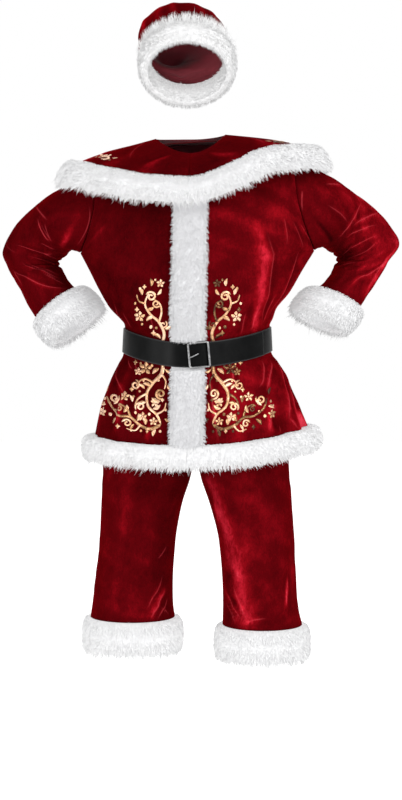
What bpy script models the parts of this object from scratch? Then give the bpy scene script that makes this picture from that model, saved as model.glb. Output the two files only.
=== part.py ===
"""A santa suit as it is worn: jacket, shoulder cape, trousers, belt and hat, as cloth walls with fur trims.

Lengths in the tables are millimetres. +X is the left of the wearer, the front faces -Y and +Z is up. The origin
is the middle of the shoulders at the base of the neck, which carries the suit.
"""

import math

import bmesh
import bpy
import numpy as np

MM = 0.001
COLLECTION = "santa_suit"

VELVET_WALL = 2.0
WAISTBAND_WALL = 4.0
BELT_WALL = 2.6
SEAM_GAP = 1.0  # between the outer edges of two panels that are sewn together
RIDGE_GAP = 4.4  # the same along the shoulder, where the panels meet at a steep angle
TRIM_GAP = 0.5  # between a fur trim and the cloth that it is sewn to
PANEL_COLUMNS = 15
SMALL_STEP = 0.05  # in rows of a table, for the direction of a line

VELVET_RED = (0.23, 0.005, 0.016)
FUR_WHITE = (0.86, 0.86, 0.85)
BELT_BLACK = (0.012, 0.012, 0.013)
BUCKLE_SILVER = (0.48, 0.48, 0.47)

# Jacket body, from the hem seam up to the armpits. A row is one section, by its four side points as the front
# shows them: left is -X.
BODY = np.array([
    # (left_x, left_z, right_x, right_z, front_x, front_y, front_z, back_x, back_y, back_z)
    (-215, -682, 273, -660, -3, -188, -690, 30, 182, -694),
    (-203, -622, 255, -614, -3, -181, -637, 28, 173, -634),
    (-190, -582, 240, -577, -2, -173, -601, 26, 165, -590),
    (-176, -545, 226, -541, -1, -163, -567, 25, 155, -550),
    (-161, -514, 209, -511, 0, -152, -539, 23, 144, -514),
    (-151, -490, 195, -487, 0, -143, -517, 22, 134, -482),
    (-148, -431, 192, -428, 0, -141, -461, 22, 132, -420),
    (-158, -412, 197, -408, 0, -147, -441, 21, 137, -402),
    (-184, -384, 210, -382, 0, -155, -414, 18, 145, -374),
    (-208, -344, 241, -344, 0, -161, -374, 16, 150, -338),
    (-231, -298, 268, -298, 2, -163, -320, 16, 152, -290),
    (-252, -258, 296, -252, 3, -158, -266, 16, 150, -242),
], float)
BELT_LOW_ROW = 5
BELT_TOP_ROW = 6
ARMPIT_ROW = len(BODY) - 1
BODY_RINGS = (0, 0.8, 1.7, 2.6, 3.6, 5, 6, 6.5, 7.2, 8, 9, 10, 11)  # places in BODY where the panels have rows
BODY_CENTRE_X = 18
JACKET_HALF_WIDTH = 200  # about, for the width of its seams
JACKET_HALF_DEPTH = 160

# Centre lines above the armpits as (x, y, z), and the neck edge and shoulder points that they end in.
FRONT_RISE = np.array([(4, -150, -205), (5, -134, -150), (5, -110, -96), (6, -76, -46)], float)
BACK_RISE = np.array([(15, 150, -180), (14, 140, -118), (12, 116, -58), (8, 72, 4)], float)
NECK_LEFT = np.array((-68, 4, 0), float)
NECK_RIGHT = np.array((80, 4, 10), float)
SHOULDER_LEFT = np.array((-222, 0, -68), float)
SHOULDER_RIGHT = np.array((250, 0, -36), float)
ARMHOLE_CUT_IN = 18
ARMHOLE_BLEND = 1.5  # rows of a sleeve's table over which it takes the armhole's form, and its creases end
CREASES_START = 1.2
NECK_ROWS = 3  # panel rows that end on the neck edge instead of the centre line

# Folds of the skirt; between them it lies a little inside its table's outline.
SKIRT_INWARDS = 3
SKIRT_FOLDS = [
    # (angle from the centre front, width in degrees, how far it stands out at the hem)
    (-24, 7, 6), (-47, 8, 9), (-71, 8, 8), (-93, 8, 7), (-116, 9, 11), (-139, 9, 9), (-163, 9, 12),
    (176, 9, 10), (153, 9, 13), (130, 9, 10), (108, 8, 12), (86, 7, 11), (66, 7, 14), (46, 7, 9), (25, 7, 6),
]
# Gathers that the belt draws in, above it and just below it.
WAIST_GATHERS = [
    # (angle_deg, width_deg, stand_out_mm, reach_rows)
    (-62, 7, 4, 2.0), (-38, 6, 3, 1.6), (36, 6, 4, 2.2), (56, 6, 6, 2.6), (78, 7, 5, 2.0),
    (104, 7, 5, 2.0), (128, 8, 6, 2.4), (152, 8, 5, 2.0), (178, 8, 6, 2.4), (-154, 8, 5, 2.0),
    (-130, 8, 6, 2.2), (-106, 7, 5, 2.0),
]

# Sleeves, from the armhole to the cuff seam: the outer and inner outline, and how far back and how deep the arm is.
SLEEVE_RIGHT_ARM = np.array([
    # (outer_x, outer_z, inner_x, inner_z, line_y, half_depth)
    (-224, -68, -254, -255, 0, 78),
    (-278, -94, -262, -252, 12, 77),
    (-327, -119, -273, -250, 30, 74),
    (-366, -146, -283, -256, 50, 71),
    (-403, -179, -293, -266, 70, 69),
    (-429, -215, -302, -273, 86, 68),
    (-445, -253, -306, -278, 92, 68),
    (-432, -290, -304, -288, 88, 66),
    (-415, -319, -298, -299, 80, 64),
    (-399, -345, -290, -313, 70, 62),
    (-378, -384, -278, -331, 58, 60),
    (-357, -416, -259, -343, 50, 60),
], float)
SLEEVE_LEFT_ARM = np.array([
    (252, -36, 298, -249, 0, 80),
    (310, -64, 305, -245, 12, 79),
    (354, -88, 315, -243, 30, 76),
    (396, -114, 326, -247, 50, 73),
    (442, -148, 338, -254, 70, 70),
    (484, -190, 349, -262, 86, 69),
    (506, -235, 353, -269, 92, 69),
    (479, -278, 353, -279, 88, 67),
    (460, -310, 347, -290, 80, 65),
    (441, -339, 340, -304, 70, 63),
    (423, -363, 328, -322, 58, 62),
    (407, -389, 301, -344, 50, 62),
], float)
SLEEVE_RINGS = (0, 0.7, 1.4, 2.0, 2.6, 3.2, 3.8, 4.4, 4.9, 5.3, 5.7, 6.1, 6.5, 6.9, 7.4, 8.1, 9.0, 10.0, 11.0)
SLEEVE_SIDES = 16
SLEEVE_CUFF_SIDES = 24
SLEEVE_CUFF_START = 0.8  # of the fur, past the end of the velvet
# Creases run round the sleeve from the inner elbow; 90 degrees is the front and 270 the back.
SLEEVE_CREASES = [
    # (row, angle_deg, row_width, angle_width_deg, depth_mm)
    (2.0, 60, 0.45, 60, 6), (3.2, 70, 0.40, 70, 7), (4.4, 60, 0.35, 75, 7), (5.3, 55, 0.28, 80, 8),
    (6.1, 60, 0.25, 80, 9), (6.9, 60, 0.28, 75, 8), (8.1, 70, 0.40, 60, 5),
    (2.6, 275, 0.45, 60, 6), (4.4, 290, 0.40, 70, 7), (5.7, 300, 0.30, 75, 8), (6.9, 295, 0.30, 70, 7),
    (9.0, 280, 0.50, 60, 5),
]

# Trouser legs from the cuff seam up to the crotch, then the hips up to the waist seam.
LEG_RIGHT = np.array([
    # (outer_x, inner_x, z, line_y, half_depth)
    (-229, -31, -1109, 4, 92),
    (-224, -35, -1072, 4, 92),
    (-217, -35, -1013, 4, 93),
    (-210, -31, -954, 4, 94),
    (-207, -26, -907, 4, 95),
    (-204, -13, -842, 4, 97),
    (-202, 4, -790, 4, 98),
    (-200, 15, -742, 4, 99),
], float)
LEG_LEFT = np.array([
    (268, 81, -1127, 0, 92),
    (257, 82, -1072, 0, 92),
    (254, 80, -1013, 0, 93),
    (251, 75, -954, 0, 94),
    (249, 68, -907, 0, 95),
    (244, 50, -842, 2, 97),
    (240, 32, -790, 3, 98),
    (236, 21, -742, 4, 99),
], float)
HIPS = np.array([
    # (left_x, right_x, z, front_y, back_y, share of the way from a leg's section to a half of the hips)
    (-194, 230, -712, -112, 118, 0.42),
    (-186, 222, -676, -120, 128, 0.76),
    (-176, 211, -630, -124, 132, 1.0),
    (-164, 199, -580, -122, 128, 1.0),
    (-150, 186, -530, -117, 118, 1.0),
    (-138, 175, -486, -112, 110, 1.0),
], float)
CROTCH_X = 18
CROTCH_HALF_GAP = 0.6
LEG_SIDES = 18
LEG_RADIUS = 95  # about, for the width of its seam
LEG_SEAM_FADE = 25  # degrees from the inseam, and millimetres from the cuff seam below, over which creases end
LEG_CUFF_FADE = 20
LEG_RINGS = (0, 0.6, 1.2, 2, 3, 4, 5, 6, 7)
TROUSER_CUFF_SIDES = 28
WAISTBAND_SIDES = 28
LEG_CREASES_RIGHT = [
    # (z, slope, z_width, angle_deg, angle_width_deg, depth_mm)
    (-1090, 0.22, 12, 60, 50, 5), (-1058, 0.25, 12, 55, 50, 5), (-1000, 0.2, 16, 50, 50, 4),
    (-1085, -0.2, 14, 280, 60, 5), (-1030, 0.2, 16, 290, 60, 5), (-800, 0.3, 18, 60, 60, 4),
]
LEG_CREASES_LEFT = [
    (-1095, -0.2, 12, 40, 45, 6), (-1064, -0.2, 12, 40, 45, 5), (-1010, -0.2, 16, 50, 50, 4),
    (-1085, 0.2, 14, 280, 60, 5), (-1030, -0.2, 16, 290, 60, 5), (-800, 0.3, 18, 60, 60, 4),
]
WAISTBAND_HEIGHT = 36

# Shoulder cape from the neck edge out to its fur seam, as the jacket body is given.
CAPE = np.array([
    # (left_x, left_z, right_x, right_z, front_x, front_y, front_z, back_x, back_y, back_z)
    (-76, 12, 88, 22, 6, -84, -26, 8, 80, 16),
    (-142, -6, 158, 14, 5, -116, -44, 9, 112, -10),
    (-206, -24, 226, 4, 3, -146, -64, 10, 140, -42),
    (-258, -44, 282, -10, 1, -166, -86, 10, 160, -78),
], float)
CAPE_NECK_RADIUS = 130  # about, for the width of its opening at the front
CAPE_EDGE_RADIUS = 160
CAPE_LOWEST_Z = -160
CAPE_SIDES = 34
CAPE_FUR_SIDES = 44
CAPE_FUR_START = 1.8  # of the fur, past the end of the velvet
CAPE_FUR_DROP = 1.15  # how much steeper than the cape its fur hangs
CAPE_RINGS = (0, 0.75, 1.5, 2.25, 3.0)
CAPE_SAG_LEFT = 2.5  # how soon the edge rises from the centre front to each side
CAPE_SAG_RIGHT = 9.0

# Fur trims: height along the garment, how far the pile stands out and in.
HEM_FUR = (59, 27, 4)
HEM_FUR_SIDES = 58
HEM_FUR_DROP = 1.4  # how much steeper than the skirt its fur hangs
SLEEVE_CUFF_FUR = (70, 21, 3)
TROUSER_CUFF_FUR = (78, 18, 3)
CAPE_FUR = (63, 23, 3)
FUR_INNER_EDGE = 0.94  # of the height, where the inner side ends below
FUR_PROFILE = [
    # (share of the pile outwards, share of the height); the inner points are worked out
    (0.35, 0.0), (0.78, 0.07), (1.0, 0.30), (1.0, 0.62), (0.80, 0.90), (0.38, 1.0),
]
PLACKET_HALF_WIDTH = 39
PLACKET_PILE = 19
PLACKET_UNDER_BELT = 5
PLACKET_UNDER_CAPE = 8
PLACKET_CROWN = (0.45, 0.92, 1.0, 0.92, 0.45)  # share of the pile across it
PLACKET_OVERHANG = 4  # of the pile past its base on each side
PLACKET_FLAT_ROWS = 0.55  # rows of BODY above and below the belt's middle that it presses flat
PLACKET_SWELL_ROWS = 0.4  # rows over which the pile swells again
PLACKET_RINGS = (0, 0.8, 1.7, 2.6, 3.6, 4.4, 4.8, 5, 5.5, 6, 6.2, 6.5, 7.2, 8, 9, 10, 11)

BELT_HEIGHT = 57
BELT_CENTRE_X = 22
BELT_NEAR = 0.02  # radians, for the direction of its line
BELT_OFF_VELVET = 1.2
BELT_LAYER_GAP = 0.6  # between the strap and its free end
BELT_OVER_PLACKET = 6.2
BELT_PLACKET_SPREAD = 58
BELT_START_RADIUS = 190  # of the front of the belt, where it starts at the buckle
BELT_TIP_RADIUS = 196
BELT_OVERLAP = (0.45, 0.05)  # radians before the centre front where the second layer starts and is reached
BUCKLE_X = 23
BUCKLE_WIDTH = 51
BUCKLE_HEIGHT = 61
BUCKLE_WIRE = 5.0
BUCKLE_CORNER = 4.0
BUCKLE_OFF_STRAP = 1.4
PRONG_WIRE = 3.2
PRONG_ROOT = 2.5  # from the buckle's middle towards -X
BUCKLE_LEAN = math.radians(5)
BELT_TIP_X = 172
BELT_STEPS = 60

HAT_CROWN = [
    # (centre_x, centre_y, centre_z, half_width, half_length, lean_back_deg)
    (-2, 16, 213, 97, 112, 35),
    (-8, 30, 236, 105, 112, 42),
    (-15, 56, 252, 104, 96, 58),
    (-22, 88, 252, 86, 74, 82),
    (-30, 116, 240, 64, 54, 104),
    (-37, 140, 226, 44, 36, 118),
    (-42, 160, 208, 28, 24, 132),
    (-45, 172, 194, 12, 12, 139),
]
HAT_SIDES = 20
HAT_RINGS = (0, 0.6, 1.2, 1.8, 2.4, 3, 3.6, 4.3, 5.1, 6, 7)
HAT_BAND_SIDES = 32
HAT_BAND_FUR = (60, 17, 4)
POMPOM_CENTRE = (-51, 196, 166)
POMPOM_RADIUS = 38


def clear_scene():
    for old in list(bpy.data.objects):
        bpy.data.objects.remove(old, do_unlink=True)


def material(name, colour, roughness, metallic=0.0):
    made = bpy.data.materials.new(name)
    made.use_nodes = True
    shader = made.node_tree.nodes["Principled BSDF"]
    shader.inputs["Base Color"].default_value = (*colour, 1.0)
    shader.inputs["Roughness"].default_value = roughness
    shader.inputs["Metallic"].default_value = metallic
    return made


def unit(vectors):
    """Vectors of length 1 along the last axis."""
    return vectors / np.linalg.norm(vectors, axis=-1, keepdims=True)


def whole_turn(count):
    return np.linspace(0, 2 * math.pi, count, endpoint=False)


def through(table, places):
    """Rows of a table at fractional places, on a smooth curve through its own rows."""
    table = np.asarray(table, float)
    last = len(table) - 1
    places = np.clip(np.asarray(places, float), 0, last)
    start = np.minimum(places.astype(int), last - 1)
    t = (places - start)[:, None]
    before, a = table[np.maximum(start - 1, 0)], table[start]
    b, after = table[start + 1], table[np.minimum(start + 2, last)]
    curve = 2 * a + (b - before) * t + (2 * before - 5 * a + 4 * b - after) * t ** 2
    return 0.5 * (curve + (3 * a - before - 3 * b + after) * t ** 3)


def grid_mesh(name, points, closed_u=False, closed_v=False, capped=False, centres=None):
    """A mesh over a grid of points (u, v), which faces away from the centres of its u rows."""
    rows, columns = points.shape[:2]
    number = np.arange(rows * columns).reshape(rows, columns)
    if closed_u:
        number = np.vstack([number, number[:1]])
    if closed_v:
        number = np.hstack([number, number[:, :1]])
    corners = number[:-1, :-1], number[:-1, 1:], number[1:, 1:], number[1:, :-1]
    faces = np.stack(corners, axis=-1).reshape(-1, 4)
    flat = points.reshape(-1, 3)
    if centres is not None:
        normals = np.cross(flat[faces[:, 2]] - flat[faces[:, 0]], flat[faces[:, 3]] - flat[faces[:, 1]])
        middles = flat[faces].mean(axis=1)
        inside = np.repeat(np.asarray(centres, float), columns, axis=0)[faces[:, 0]]
        if (normals * (middles - inside)).sum() < 0:
            faces = faces[:, ::-1]
    faces = [tuple(int(i) for i in face) for face in faces]
    if capped:
        faces += [tuple(range(columns)), tuple(range((rows - 1) * columns, rows * columns))]
    mesh = bpy.data.meshes.new(name)
    mesh.from_pydata([tuple(p) for p in flat * MM], [], faces)
    if capped or (closed_u and closed_v):
        shape = bmesh.new()
        shape.from_mesh(mesh)
        bmesh.ops.recalc_face_normals(shape, faces=shape.faces)
        shape.to_mesh(mesh)
        shape.free()
    mesh.shade_smooth()
    return mesh


def add_piece(name, mesh, finish, wall=None):
    """One named piece; with a wall, its surface is the outer face of cloth that thick."""
    mesh.materials.append(finish)
    piece = bpy.data.objects.new(name, mesh)
    bpy.data.collections[COLLECTION].objects.link(piece)
    if wall:
        thick = piece.modifiers.new("cloth", "SOLIDIFY")
        thick.thickness = wall * MM
        thick.offset = -1
        thick.use_rim = True
    return piece


def fur_profile(height, out, back):
    """The section of a fur trim as (outwards, down) points, its top edge along the seam."""
    outer = [(share * out, TRIM_GAP + down * height) for share, down in FUR_PROFILE]
    return np.array(outer + [(-back, FUR_INNER_EDGE * height), (-back, TRIM_GAP)], float)


def fur_along(name, path, down, outward, profile, finish, closed):
    """A fur trim: its profile carried along a path, with the ways down and outwards given at each point."""
    points = (path[:, None] + outward[:, None] * profile[None, :, :1] + down[:, None] * profile[None, :, 1:])
    mesh = grid_mesh(name, points, closed_u=closed, closed_v=True, capped=not closed)
    return add_piece(name, mesh, finish)


def blend_rise(corner_z, side_z, s, power):
    """Height along a quarter section: the corner's at s = 0, and the side's at a right angle."""
    return side_z + (corner_z - side_z) * np.cos(s) ** power


def quarter(corner, side, s, power=2.0):
    """Quarter sections from a front or back point to a side point: an ellipse in plan for each row."""
    s = np.broadcast_to(s, (len(corner), np.shape(s)[-1]))
    x = corner[:, :1] + (side[:, :1] - corner[:, :1]) * np.sin(s)
    y = side[:, 1:2] + (corner[:, 1:2] - side[:, 1:2]) * np.cos(s)
    z = blend_rise(corner[:, 2:], side[:, 2:], s, power)
    return np.stack([x, y, z], axis=-1)


def four_points(rows):
    """The left, right, front and back points of rows of BODY or CAPE."""
    left_x, left_z, right_x, right_z, *front_and_back = rows.T
    left = np.stack([left_x, 0 * left_x, left_z], axis=-1)
    right = np.stack([right_x, 0 * right_x, right_z], axis=-1)
    return left, right, np.stack(front_and_back[:3], axis=-1), np.stack(front_and_back[3:], axis=-1)


def wave(angle, centre, width):
    """1 at the centre of a fold and falling off on both sides, on angles in degrees."""
    away = (angle - centre + 180.0) % 360.0 - 180.0
    return np.exp(-((away / width) ** 2))


def body_stand_out(places, angle):
    """How far skirt folds and waist gathers stand out, for row places (n, 1) and angles (1, m)."""
    grow = np.clip((BELT_LOW_ROW - places) / BELT_LOW_ROW, 0, 1) ** 0.8
    total = (sum(high * wave(angle, centre, width) for centre, width, high in SKIRT_FOLDS) - SKIRT_INWARDS) * grow
    for centre, width, high, reach in WAIST_GATHERS:
        above = np.clip((places - BELT_TOP_ROW) / reach, 0, 1)
        total = total + high * wave(angle, centre, width) * 4 * above * (1 - above) * (places > BELT_TOP_ROW)
    return total


def body_section(places, s, side, face):
    """Quarter sections of the jacket below the armpits; side is -1 or 1 along X, face is -1 front or 1 back."""
    left, right, front, back = four_points(through(BODY, places))
    edge = left if side < 0 else right
    corner = front if face < 0 else back
    points = quarter(corner, edge, s)
    angle = np.degrees(s) if face < 0 else 180.0 - np.degrees(s)
    stand = body_stand_out(np.asarray(places, float)[:, None], side * np.atleast_2d(angle))
    half_width, half_depth = np.abs(edge[:, :1] - corner[:, :1]), np.abs(corner[:, 1:2] - edge[:, 1:2])
    outward_x = (points[..., 0] - corner[:, :1]) / half_width ** 2
    outward_y = (points[..., 1] - edge[:, 1:2]) / half_depth ** 2
    outward = unit(np.stack([outward_x, outward_y, np.zeros(outward_x.shape)], axis=-1))
    return points + outward * stand[..., None]


def armhole(side, face, turn):
    """Points of the armhole: turn 0 is the armpit, and pi the shoulder point."""
    left, right, _, _ = four_points(BODY[ARMPIT_ROW:])
    low, high = (left[0], SHOULDER_LEFT) if side < 0 else (right[0], SHOULDER_RIGHT)
    half_depth = (SLEEVE_RIGHT_ARM if side < 0 else SLEEVE_LEFT_ARM)[0, -1]
    turn = turn[:, None]
    middle, reach = (low + high) / 2, (high - low) / 2
    points = middle - reach * np.cos(turn) + np.array((0, face * half_depth, 0)) * np.sin(turn)
    points[:, 0] -= side * ARMHOLE_CUT_IN * np.sin(turn[:, 0]) ** 2
    return points


def upper_edges(side, face):
    """The centre line or neck edge, and the armhole, of the panel rows above the armpits."""
    rise = FRONT_RISE if face < 0 else BACK_RISE
    neck = NECK_LEFT if side < 0 else NECK_RIGHT
    turn = np.linspace(0, math.pi, len(rise) + NECK_ROWS + 1)[1:]
    edge = armhole(side, face, turn)
    along = np.linspace(0, math.pi / 2, NECK_ROWS + 1)[1:, None]
    collar = quarter(rise[-1:], neck[None], along.T)[0]
    corner = np.vstack([rise, collar])
    ridge = np.array((0, face * RIDGE_GAP / 2, 0))
    corner[-1] += ridge
    edge[-1] += ridge
    return corner, edge


def body_half(side, face, first, last):
    """The grid of one half of the jacket's front or back, from the hem up to the shoulder seam."""
    s = np.linspace(first, last, PANEL_COLUMNS)[None]
    lower = body_section(BODY_RINGS, s, side, face)
    corner, edge = upper_edges(side, face)
    upper = quarter(corner, edge, s)
    return np.vstack([lower, upper])


def seam_trim(gap, radius):
    """The share of a quarter turn that a seam's half gap takes."""
    return gap / 2 / radius


def row_centres(grid):
    """A point inside the jacket for each row of a grid."""
    middle = np.zeros((len(grid), 3))
    middle[:, 0] = BODY_CENTRE_X
    middle[:, 2] = grid[..., 2].mean(axis=1)
    return middle


def jacket_fronts(velvet):
    last = math.pi / 2 - seam_trim(SEAM_GAP, JACKET_HALF_DEPTH)
    for side, name in ((-1, "jacket_front_right"), (1, "jacket_front_left")):
        grid = body_half(side, -1, seam_trim(SEAM_GAP, JACKET_HALF_WIDTH), last)
        mesh = grid_mesh(name, grid, centres=row_centres(grid))
        add_piece(name, mesh, velvet, VELVET_WALL)


def jacket_back(velvet):
    """The back is one panel; above the neck edge's lowest point it divides, so the neck is cut out of it."""
    last = math.pi / 2 - seam_trim(SEAM_GAP, JACKET_HALF_DEPTH)
    left, right = body_half(-1, 1, 0, last), body_half(1, 1, 0, last)
    middle = len(BODY_RINGS) + len(BACK_RISE)
    whole = np.hstack([left[:middle, ::-1], right[:middle, 1:]])
    rows, columns = whole.shape[:2]
    number = np.arange(rows * columns).reshape(rows, columns)
    points = [whole.reshape(-1, 3)]
    faces = [number]
    offset = rows * columns
    for half, edge in ((left[:, ::-1], number[-1, :PANEL_COLUMNS]), (right, number[-1, PANEL_COLUMNS - 1:])):
        extra = half[middle:]
        block = np.arange(extra.shape[0] * extra.shape[1]).reshape(extra.shape[:2]) + offset
        points.append(extra.reshape(-1, 3))
        faces.append(np.vstack([edge[None], block]))
        offset += extra.shape[0] * extra.shape[1]
    flat = np.vstack(points)
    quads = [np.stack([n[:-1, :-1], n[1:, :-1], n[1:, 1:], n[:-1, 1:]], axis=-1).reshape(-1, 4) for n in faces]
    quads = np.vstack(quads)
    normals = np.cross(flat[quads[:, 2]] - flat[quads[:, 0]], flat[quads[:, 3]] - flat[quads[:, 1]])
    if normals[:, 1].sum() < 0:
        quads = quads[:, ::-1]
    mesh = bpy.data.meshes.new("jacket_back")
    mesh.from_pydata([tuple(p) for p in flat * MM], [], [tuple(int(i) for i in q) for q in quads])
    mesh.shade_smooth()
    add_piece("jacket_back", mesh, velvet, VELVET_WALL)


def sleeve_frame(table, places):
    """Centres, the way from inner to outer outline, its half length, the way to the front, and half depth."""
    places = np.asarray(places, float)

    def outlines(at):
        outer_x, outer_z, inner_x, inner_z, line_y, _ = through(table, at).T
        return np.stack([outer_x, line_y, outer_z], axis=-1), np.stack([inner_x, line_y, inner_z], axis=-1)
    outer, inner = outlines(places)
    along = unit(sum(outlines(places + SMALL_STEP)) - sum(outlines(places - SMALL_STEP)))
    across = unit(outer - inner)
    front = unit(np.cross(across, along))
    front *= -np.sign(front[:, 1:2])
    straight = np.clip(1 - places[:, None] / 2, 0, 1)
    front = unit(front * (1 - straight) + np.array((0, -1, 0)) * straight)
    half = np.linalg.norm(outer - inner, axis=1)[:, None] / 2
    return (outer + inner) / 2, along, across, half, front, through(table, places)[:, -1:]


def sleeve_ring(table, places, turn):
    """Rings of a sleeve: turn 0 is the inner outline, a quarter turn the front and a half turn the outer outline."""
    centre, _, across, half, front, depth = sleeve_frame(table, places)
    turn = np.asarray(turn)[None, :, None]
    reach = np.cos(turn) * half[:, None] * -across[:, None] + np.sin(turn) * depth[:, None] * front[:, None]
    dent = np.zeros(reach.shape[:2])
    place, degrees = np.asarray(places, float)[:, None], np.degrees(turn[..., 0])
    for row, angle, row_width, angle_width, deep in SLEEVE_CREASES:
        dent += deep * np.exp(-((place - row) / row_width) ** 2) * wave(degrees, angle, angle_width)
    dent *= np.clip(place / CREASES_START, 0, 1) * np.clip((len(table) - 1 - place) / ARMHOLE_BLEND, 0, 1)
    points = centre[:, None] + reach - unit(reach) * dent[..., None]
    blend = np.clip(1 - place / ARMHOLE_BLEND, 0, 1)
    points[..., 0] -= np.sign(table[0, 0]) * ARMHOLE_CUT_IN * blend * np.sin(turn[..., 0]) ** 2
    return points, centre


def sleeves(velvet, fur):
    turn = whole_turn(SLEEVE_SIDES)
    for word, table in (("right", SLEEVE_RIGHT_ARM), ("left", SLEEVE_LEFT_ARM)):
        points, centre = sleeve_ring(table, SLEEVE_RINGS, turn)
        clear = np.clip(1 - np.asarray(SLEEVE_RINGS)[:, None] / ARMHOLE_BLEND, 0, 1)
        points[..., 0] += np.sign(table[0, 0]) * (VELVET_WALL + SEAM_GAP) * clear
        name = f"jacket_sleeve_{word}"
        add_piece(name, grid_mesh(name, points, closed_v=True, centres=centre), velvet, VELVET_WALL)
        cuff_place = [len(table) - 1]
        end, middle = sleeve_ring(table, cuff_place, whole_turn(SLEEVE_CUFF_SIDES))
        along = sleeve_frame(table, cuff_place)[1]
        outward = unit(end[0] - middle)
        outward = unit(outward - along * (outward * along).sum(axis=1, keepdims=True))
        down = np.broadcast_to(along, outward.shape)
        path = end[0] + down * SLEEVE_CUFF_START
        fur_along(f"sleeve_cuff_fur_{word}", path, down, outward, fur_profile(*SLEEVE_CUFF_FUR), fur, True)


def open_ring(section, count, start):
    """Rows from quarter sections, from the centre front over the left of the wearer and round the back.

    They leave an opening at the centre front, start radians to each side. section(side, face, s) gives points
    (rows, m, 3) for angles s from a centre line to the side.
    """
    parts = []
    for step in np.linspace(start, 2 * math.pi - start, count):
        quadrant = int(step // (math.pi / 2))
        side = 1 if quadrant < 2 else -1
        face = -1 if quadrant in (0, 3) else 1
        s = step if quadrant == 0 else abs(math.pi - step) if quadrant < 3 else 2 * math.pi - step
        parts.append(section(side, face, np.array([[s]])))
    return np.concatenate(parts, axis=1)


def plan_normals(ring, down):
    """Ways outwards from a ring of points that runs counter-clockwise seen from above, square to the ways down."""
    ahead = np.roll(ring, -1, axis=0) - np.roll(ring, 1, axis=0)
    outward = unit(np.cross(ahead, -down))
    if (outward * (ring - ring.mean(axis=0)))[:, :2].sum() < 0:
        outward = -outward
    return outward


def open_ends(vectors):
    """The end points of an open ring take the ways outwards of the points beside them."""
    vectors = vectors.copy()
    vectors[0], vectors[-1] = vectors[1], vectors[-2]
    return vectors


def hem_fur(fur):
    """The fur at the hem opens at the centre front, as the jacket does."""
    def section(side, face, s):
        return body_section((0, 0.4), s, side, face)
    grid = open_ring(section, HEM_FUR_SIDES, seam_trim(SEAM_GAP, BELT_START_RADIUS))
    down = unit(unit(grid[0] - grid[1]) + np.array((0, 0, -HEM_FUR_DROP)))
    outward = open_ends(plan_normals(grid[0], down))
    fur_along("jacket_hem_fur", grid[0] + down, down, outward, fur_profile(*HEM_FUR), fur, False)


def placket(fur):
    """The fur down the centre front lies on both front panels, thin under the belt and the cape."""
    places, finer = np.array(BODY_RINGS, float), np.array(PLACKET_RINGS, float)
    left, right, front, _ = four_points(through(BODY, places))
    upper_rows = len(FRONT_RISE) - 1
    base = []
    for offset in np.linspace(-PLACKET_HALF_WIDTH, PLACKET_HALF_WIDTH, len(PLACKET_CROWN)):
        side = -1 if offset < 0 else 1
        edge = left if side < 0 else right
        s = np.arcsin(np.abs(offset / (edge[:, 0] - front[:, 0])))
        on_panel = body_section(places, s[:, None], side, -1)[:, 0]
        lower = np.stack([np.interp(finer, places, axis) for axis in on_panel.T], axis=-1)
        corner, edge = (line[:upper_rows] for line in upper_edges(side, -1))
        s = np.arcsin(np.abs(offset / (edge[:, 0] - corner[:, 0])))
        base.append(np.vstack([lower, quarter(corner, edge, s[:, None])[:, 0]]))
    base = np.stack(base, axis=1)
    up = np.gradient(base.mean(axis=1), axis=0)
    outward = unit(np.cross(unit(up), np.array((1.0, 0, 0))))
    outward *= -np.sign(outward[:, 1:2])
    belt_row = (BELT_LOW_ROW + BELT_TOP_ROW) / 2
    past_belt = np.clip(np.abs(finer - belt_row) - PLACKET_FLAT_ROWS, 0, None)
    pile = PLACKET_PILE - (PLACKET_PILE - PLACKET_UNDER_BELT) * np.exp(-(past_belt / PLACKET_SWELL_ROWS) ** 2)
    pile = np.concatenate([pile, np.linspace(PLACKET_PILE, PLACKET_UNDER_CAPE, upper_rows)])
    base = base + outward[:, None] * TRIM_GAP * 2
    top = base + outward[:, None] * (pile[:, None] * PLACKET_CROWN)[..., None]
    top[:, 0, 0] -= PLACKET_OVERHANG
    top[:, -1, 0] += PLACKET_OVERHANG
    grid = np.concatenate([base, top[:, ::-1]], axis=1)
    grid[0, :, 2] += TRIM_GAP
    mesh = grid_mesh("jacket_placket_fur", grid, closed_v=True, capped=True)
    add_piece("jacket_placket_fur", mesh, fur)


def leg_section(rows, turn, side):
    """Rings of one leg: turn 0 is the inseam, a quarter turn the front; side is -1 or 1 along X."""
    outer_x, inner_x, z, line_y, half_depth = rows.T[..., None]
    x = (outer_x + inner_x) / 2 - side * np.abs(outer_x - inner_x) / 2 * np.cos(turn)
    y = line_y - half_depth * np.sin(turn)
    return np.stack([x, y, z + 0 * x], axis=-1)


def hip_section(rows, turn, side):
    """Half rings of the hips, from the centre front round one side to the centre back."""
    left_x, right_x, z, front_y, back_y, _ = rows.T[..., None]
    edge_x = left_x if side < 0 else right_x
    x = CROTCH_X + (edge_x - CROTCH_X) * np.sin(turn / 2)
    y = np.where(np.cos(turn / 2) > 0, front_y, back_y) * np.abs(np.cos(turn / 2))
    return np.stack([x, y, z + 0 * x], axis=-1)


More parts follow.
